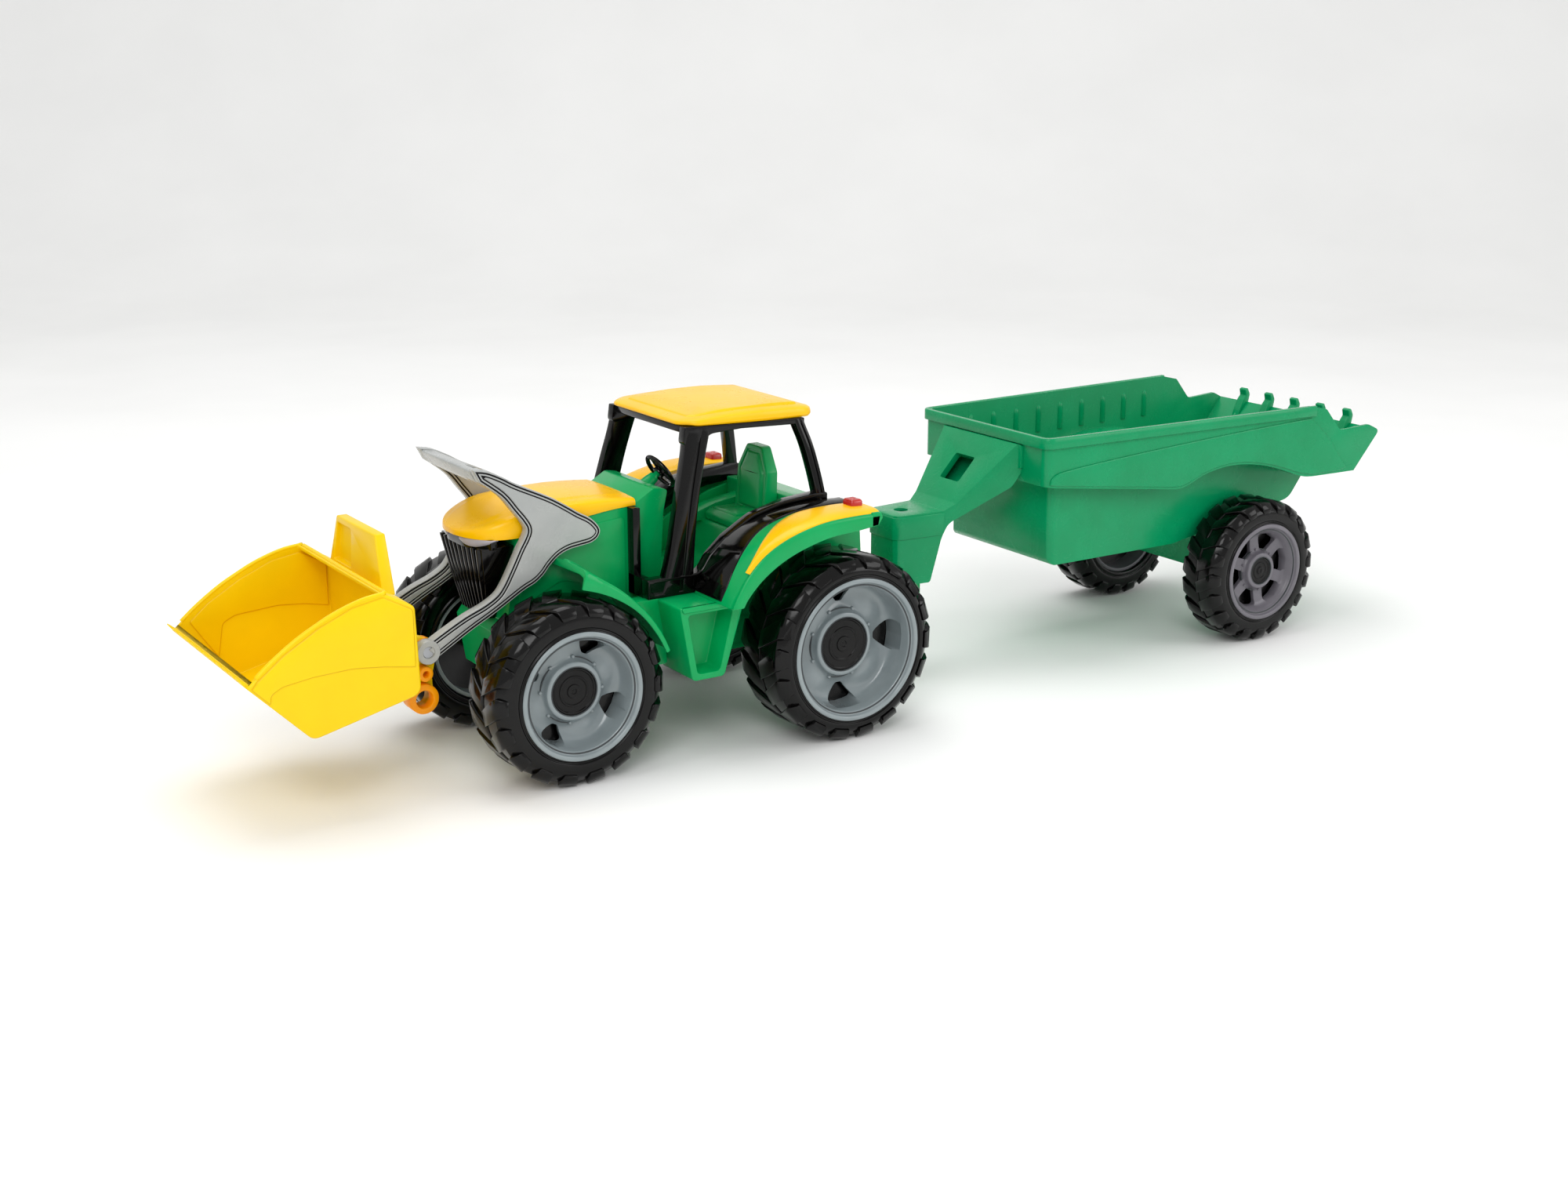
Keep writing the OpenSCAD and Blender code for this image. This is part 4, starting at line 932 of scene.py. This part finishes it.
corner_x = [-222 - 7 + 7 * math.sin(a * math.pi / 2) for a in (0, 0.2, 0.4, 0.6, 0.75, 0.88, 0.96)]
up_o = [(-222, 206)] + [(-222, 165)] + spline([(-222, 164.6), (-290, 156.4), (-340, 150.4), (-366, 147.4), (-380, 150.4), (-396, 156.8), (-420, 161.4), (-444, 161.0), (-470, 156.6), (-492, 149.8), (-506, 144.6), (-520, 141.4), (-545, 141), (-577, 141)], 4)[1:]
up_o += rounded([(-577, 141), (-606, 176), (-592, 182.4), (-556, 180.6), (-538, 201.5), (-519, 206), (-222, 206)], [0, 4, 4, 9, 4, 8, 0], 5)[1:-1]
upper = split_prism(up_o, lambda x, z: tub_w(x), corner_x + [-300, -400, -500])
in_front = -224.6
cx2 = [in_front - 6 + 6 * math.sin(a * math.pi / 2) for a in (0, 0.25, 0.5, 0.72, 0.88, 0.97)]
in_o = [(in_front, 240), (in_front, 168)] + spline([(-225, 167.6), (-300, 158.2), (-350, 152.6), (-374, 151.6), (-392, 159.4), (-421, 165), (-460, 163), (-488, 155), (-502, 150), (-516, 145.4), (-575, 145)], 4)[1:] + [(-603.4, 179.2), (-640, 190), (-640, 240)]
cav_up = split_prism(in_o, lambda x, z: tub_w(x, 0, -3.0, 6.0, in_front), cx2 + [-300, -400, -500])
low_o = rounded([(-240, 170), (-242, 96), (-247, 91), (-385, 91), (-529, 115), (-545, 136), (-545, 150), (-500, 170)], [0, 5, 5, 30, 18, 12, 0, 0], 6)


def low_w(front, r, base):
    def f(x, z):
        w = base
        d = x - (front - r)
        if d > 0:
            w -= r * (1 - math.sqrt(max(0.0, 1 - (min(d, r) / r) ** 2)))
        return w
    return f


lx = [-240 - 9 + 9 * math.sin(a * math.pi / 2) for a in (0, 0.2, 0.4, 0.6, 0.75, 0.88, 0.97)]
lower = split_prism(low_o, low_w(-240, 9.0, 68.0), lx + [-300, -400, -500])
lin_o = rounded([(-243, 180), (-245, 97), (-248, 94), (-384, 94), (-527, 118), (-542, 140), (-542, 180)], [0, 5, 5, 28, 14, 4, 0], 6)
lx2 = [-243 - 7 + 7 * math.sin(a * math.pi / 2) for a in (0, 0.25, 0.5, 0.72, 0.88, 0.97)]
cav_low = split_prism(lin_o, low_w(-243, 7.0, 65.0), lx2 + [-300, -400, -500])
screw_holes = [loft([[(x, 36 * s + 1.6 * math.cos(2 * math.pi * k / 16), 187 + 1.6 * math.sin(2 * math.pi * k / 16)) for k in range(16)] for x in (-232, -214)]) for s in (1, -1)]
make("trailer_tub_upper", upper, "trailer", "trailer_green", ["trailer_tub"], cuts=[cav_up, cav_low], bevel=0.9, seg=3, angle=35)
make("trailer_tub_lower", lower, "trailer", "trailer_green", cuts=[cav_up, cav_low], bevel=1.4, seg=3, angle=35)


def plan_sweep(path, section):
    """A strip that follows a line in plan; the section is a list of (outward offset, z), the same all along."""
    rings = []
    n = len(path)
    for i in range(n):
        a, b = path[max(i - 1, 0)], path[min(i + 1, n - 1)]
        dx_, dy_ = b[0] - a[0], b[1] - a[1]
        l = math.hypot(dx_, dy_)
        nx, ny = dy_ / l, -dx_ / l
        rings.append([(path[i][0] + nx * o, path[i][1] + ny * o, z) for o, z in section])
    return loft(rings)


def tub_line(x_tail, off=0.0, r=7.0):
    side = [(x, tub_w(x, 0, 0, r) + off) for x in [x_tail + (-222 - r - x_tail) * k / 10 for k in range(10)]]
    arc = [(-222 - r + (r + off) * math.sin(a), tub_w(-229, 0, 0, 7) - r + (r + off) * math.cos(a)) for a in [math.pi / 2 * k / 6 for k in range(7)]]
    half = side + arc
    return [(p[0], -p[1]) for p in half] + [(p[0], p[1]) for p in reversed(half)]


tl = tub_line(-523)
rim_path = list(reversed(tl))
rim_sec = [(-2.9, 197.4), (1.9, 196.6), (2.3, 198.0), (2.3, 201.2), (1.5, 201.9), (1.5, 204.6), (0.7, 206.3), (-2.3, 206.3), (-2.9, 205.4)]
t_det = plan_sweep(rim_path, rim_sec)
# lower panel of each side, bounded by a curved step
pn = spline([(-226.5, 166.5), (-227.5, 171), (-232, 174.6), (-241, 176.8), (-272, 180), (-330, 184.6), (-400, 189.2), (-460, 192.6), (-519, 195.2)], 5)
low_edge = [p for p in spline([(-524, 143.2), (-508, 146.4), (-494, 151.2), (-470, 158.4), (-444, 163), (-420, 163.4), (-396, 158.8), (-380, 152.6), (-366, 149.6), (-340, 152.4), (-290, 158.4), (-232, 165.2)], 4)]
tail_edge = [(-541, 176), (-566, 145.5), (-560, 143.2)]
panel_o = dense(pn + tail_edge + low_edge, 7)
pl = inset(panel_o, 0)
ring_sets = []
for d, t in [(0, -1.0), (0, 0.9), (0.5, 1.3), (1.2, 1.4)]:
    lp = inset(panel_o, d)
    ring_sets.append([(p[0], tub_w(p[0], 0, 0, 1.0) + t, p[1]) for p in lp])
pan = G()
n_ = len(ring_sets[0])
pan.add(loft(ring_sets[:], caps=False))
cap_face = tuple(range((len(ring_sets) - 1) * n_, len(ring_sets) * n_))
pan.f.append(cap_face)
pan.m.append(0)
pan.f.append(tuple(range(n_ - 1, -1, -1)))
pan.m.append(0)
t_det.add(pan.both())
# ribs inside, with rounded tops
for i in range(10):
    x = -246 - i * 27.6
    base = 182
    w = tub_w(x, 0, -3.0, 0.5)
    rr_ = []
    for z, k in [(base - 12, 1.0), (188, 1.0), (191, 0.94), (193.4, 0.76), (194.8, 0.45), (195.2, 0.12)]:
        rr_.append([(x + 3.1 * k * math.cos(2 * math.pi * q / 12), w + 0.4 + 2.3 * k * math.sin(2 * math.pi * q / 12), z) for q in range(12)])
    t_det.add(loft(rr_).both())
for y_ in (-58, -29, 0, 29, 58):
    rr_ = []
    for z, k in [(169, 1.0), (186, 1.0), (189, 0.94), (191.4, 0.76), (192.8, 0.45), (193.2, 0.12)]:
        rr_.append([(-224.6 - 0.3 + 2.1 * k * math.sin(2 * math.pi * q / 12), y_ + 3.1 * k * math.cos(2 * math.pi * q / 12), z) for q in range(12)])
    t_det.add(loft(rr_))
# hooked prongs along the tail edge
for y_ in (-66, -33, 0, 33, 66):
    hook = rounded([(-588, 157), (-604, 176), (-606, 185), (-602.5, 191.4), (-598.6, 190), (-600, 184), (-596.5, 180), (-592, 170)], [1, 5, 4, 2, 1.5, 2, 3, 2], 5)
    t_det.add(relief(dense(hook, 2.5), [(0.8, y_ - 4.2), (0, y_ - 3.6), (0, y_ + 3.6), (0.8, y_ + 4.2)]))
    # rib that runs from each prong down the tail plate
    t_det.add(loft([[(x, y_ - 1.8, z - 2), (x, y_ + 1.8, z - 2), (x, y_ + 1.0, z + 1.3), (x, y_ - 1.0, z + 1.3)] for x, z in ((-524, 145.6), (-574, 145.2), (-600, 176.4))]))
make("trailer_tub_trim", t_det, "trailer", "trailer_green", bevel=0.45, seg=2, angle=40, sharp=45)

# drawbar: sloping arm with a square window, and the head that drops over the pin


def db_w(x, off=0.0):
    pts_ = [(-115, 15.0), (-118, 19.0), (-121, 20.2), (-162, 24), (-222, 52)]
    if x >= -115:
        return 15.0 + off
    for p, q in zip(pts_, pts_[1:]):
        if q[0] <= x <= p[0]:
            return p[1] + (q[1] - p[1]) * (p[0] - x) / (p[0] - q[0]) + off
    return 52 + off


db_o = rounded([(-115, 141), (-162, 141), (-172, 147), (-218, 196.5), (-222, 196.5), (-222, 172), (-215, 160), (-166, 130), (-160, 116), (-150, 80.3), (-116, 80.3)], [2, 5, 6, 1, 0, 4, 10, 14, 12, 3, 3], 5)
arm_b = split_prism(db_o, lambda x, z: db_w(x), [-118, -121, -162])
db_i = rounded([(-170, 136.5), (-176.5, 143.5), (-219, 189.5), (-219, 174.5), (-212.5, 163)], [2, 4, 2, 2, 4], 5)
arm_c = split_prism(db_i, lambda x, z: db_w(x, -3.4), [-170, -200])
T2 = math.radians(47)


def on_slope(p):
    u, y, w = p
    return (-194 + u * math.cos(T2) + w * math.sin(T2), y, 171 - u * math.sin(T2) + w * math.cos(T2))


sq = rounded([(-13, -13), (13, -13), (13, 13), (-13, 13)], 2.2, 4)
win_c = loft([[(p[0], p[1], w) for p in sq] for w in (-14, 14)]).moved(on_slope)
bore = loft([[(-135 + 6.08 * math.cos(2 * math.pi * k / 32), 6.08 * math.sin(2 * math.pi * k / 32), z) for k in range(32)] for z in (70, 150)])
make("trailer_drawbar_arm", arm_b, "trailer", "trailer_green", ["trailer_drawbar"], cuts=[arm_c, win_c, bore], bevel=1.0, seg=3, angle=35)
dd = G()
# collar round the head, with a seam under it
hd_o = rounded([(-114.2, 140.4), (-163, 140.4), (-161, 119), (-114.2, 119)], 1.0, 3)
collar = split_prism([(-114.2, 139.6), (-162.6, 139.6), (-161.0, 120.4), (-114.2, 120.4)], lambda x, z: db_w(x, 1.1), [-118, -121])
make("trailer_drawbar_collar", collar, "trailer", "trailer_green", cuts=[bore], bevel=0.8, seg=2)
for s in (1,):
    b1 = G()
    for sy in (1, -1):
        b1.add(loft([[(x, 36 * sy + q * math.cos(2 * math.pi * k / 24), 187 + q * math.sin(2 * math.pi * k / 24)) for k in range(24)] for x, q in ((-222.5, 4.5), (-214.4, 4.5), (-213.6, 3.9))]))
    # flange where the arm meets the tub
    b1.add(prism(rounded([(-54, 176), (54, 176), (54, 196.3), (-54, 196.3)], 2, 3), -222.6, -219.4, "x"))
make("trailer_drawbar_bosses", b1, "trailer", "trailer_green", cuts=screw_holes, bevel=0.4, seg=2, angle=40)

# ------------------------------------------------------------------ CAD nodes that are shown as they are
CAD_MAT = {}
for n in ("chassis_frame", "hitch_bracket"):
    CAD_MAT[n] = ("green_body", 1.2)
for n in ("front_axle", "rear_axle", "chassis_screws", "bucket_pin", "trailer_axle", "trailer_screws"):
    CAD_MAT[n] = ("steel", 0.4)
CAD_MAT["loader_pivot_pins"] = ("green_body", 0.5)
CAD_MAT["hitch_pin"] = ("black_body", 0.8)
CAD_MAT["trailer_underframe"] = ("trailer_green", 1.5)
for n, ob in NODES.items():
    if n not in CAD_MAT:
        CAD_MAT[n] = ("green_body", 0.5)
    s, b = CAD_MAT[n]
    ob.data.materials.clear()
    ob.data.materials.append(MAT[s])
    wl = ob.modifiers.new("weld", "WELD")
    wl.merge_threshold = 0.000004
    bv = ob.modifiers.new("bevel", "BEVEL")
    bv.width = b / 1000
    bv.segments = 3
    bv.limit_method = "ANGLE"
    bv.angle_limit = math.radians(32)
    bv.use_clamp_overlap = True

# ------------------------------------------------------------------ floor, light and camera


def plain(name, rgb_a, rgb_b, rough):
    m = plastic(name, rgb_a, rgb_b, rough, spread=0.05, scale=3, fine=60, bump=0.01)
    return m


me = bpy.data.meshes.new("floor")
pts = []
faces = []
prof = [(-9.0, 0.0)] + [(2.2 + 1.2 * math.sin(t * math.pi / 16), 1.2 - 1.2 * math.cos(t * math.pi / 16)) for t in range(9)] + [(3.4, 6.0)]
# the sweep runs along the view direction, so the backdrop stands square behind the object
YAW = 0.577
dx, dy = -math.sin(YAW), -math.cos(YAW)
rx, ry = dy, -dx
for u, z in prof:
    for w in (-9, 9):
        pts.append((dx * u + rx * w, dy * u + ry * w, z - 0.0004))
for i in range(len(prof) - 1):
    faces.append((2 * i, 2 * i + 1, 2 * i + 3, 2 * i + 2))
me.from_pydata(pts, [], faces)
me.polygons.foreach_set("use_smooth", [True] * len(faces))
floor = bpy.data.objects.new("floor", me)
bpy.context.scene.collection.objects.link(floor)
me.materials.append(plain("floor_white", (246, 246, 245), (250, 250, 249), 0.85))

world = bpy.data.worlds.new("studio")
world.use_nodes = True
bg = world.node_tree.nodes["Background"]
bg.inputs["Color"].default_value = (1.0, 1.0, 1.0, 1.0)
bg.inputs["Strength"].default_value = 0.7
bpy.context.scene.world = world
bpy.context.scene.view_settings.view_transform = "Standard"


def area_light(name, loc, target, size, power, size_y=None, color=(1, 1, 1)):
    d = bpy.data.lights.new(name, "AREA")
    d.energy = power
    d.shape = "RECTANGLE"
    d.size = size
    d.size_y = size_y or size
    d.color = color
    o = bpy.data.objects.new(name, d)
    bpy.context.scene.collection.objects.link(o)
    o.location = loc
    o.rotation_euler = (Vector(target) - Vector(loc)).to_track_quat("-Z", "Y").to_euler()
    return o


area_light("key", (1.5, 1.9, 1.9), (0.05, 0, 0.1), 1.3, 26)
area_light("fill", (-1.7, 1.8, 1.1), (0, 0, 0.1), 1.2, 12)
area_light("top", (0.1, -0.4, 2.3), (0, 0, 0.1), 1.6, 22)

cam = bpy.data.cameras.new("camera")
cam.sensor_width = 36
cam.lens = 46.84
cam.clip_start = 0.05
cam.clip_end = 60
cam.dof.use_dof = False
cam_ob = bpy.data.objects.new("camera", cam)
bpy.context.scene.collection.objects.link(cam_ob)
PITCH = 0.272
view = Vector((-math.sin(YAW) * math.cos(PITCH), -math.cos(YAW) * math.cos(PITCH), -math.sin(PITCH)))
cam_ob.location = (0.93481, 1.35512, 0.53972)
cam_ob.rotation_euler = view.to_track_quat("-Z", "Y").to_euler()
bpy.context.scene.camera = cam_ob
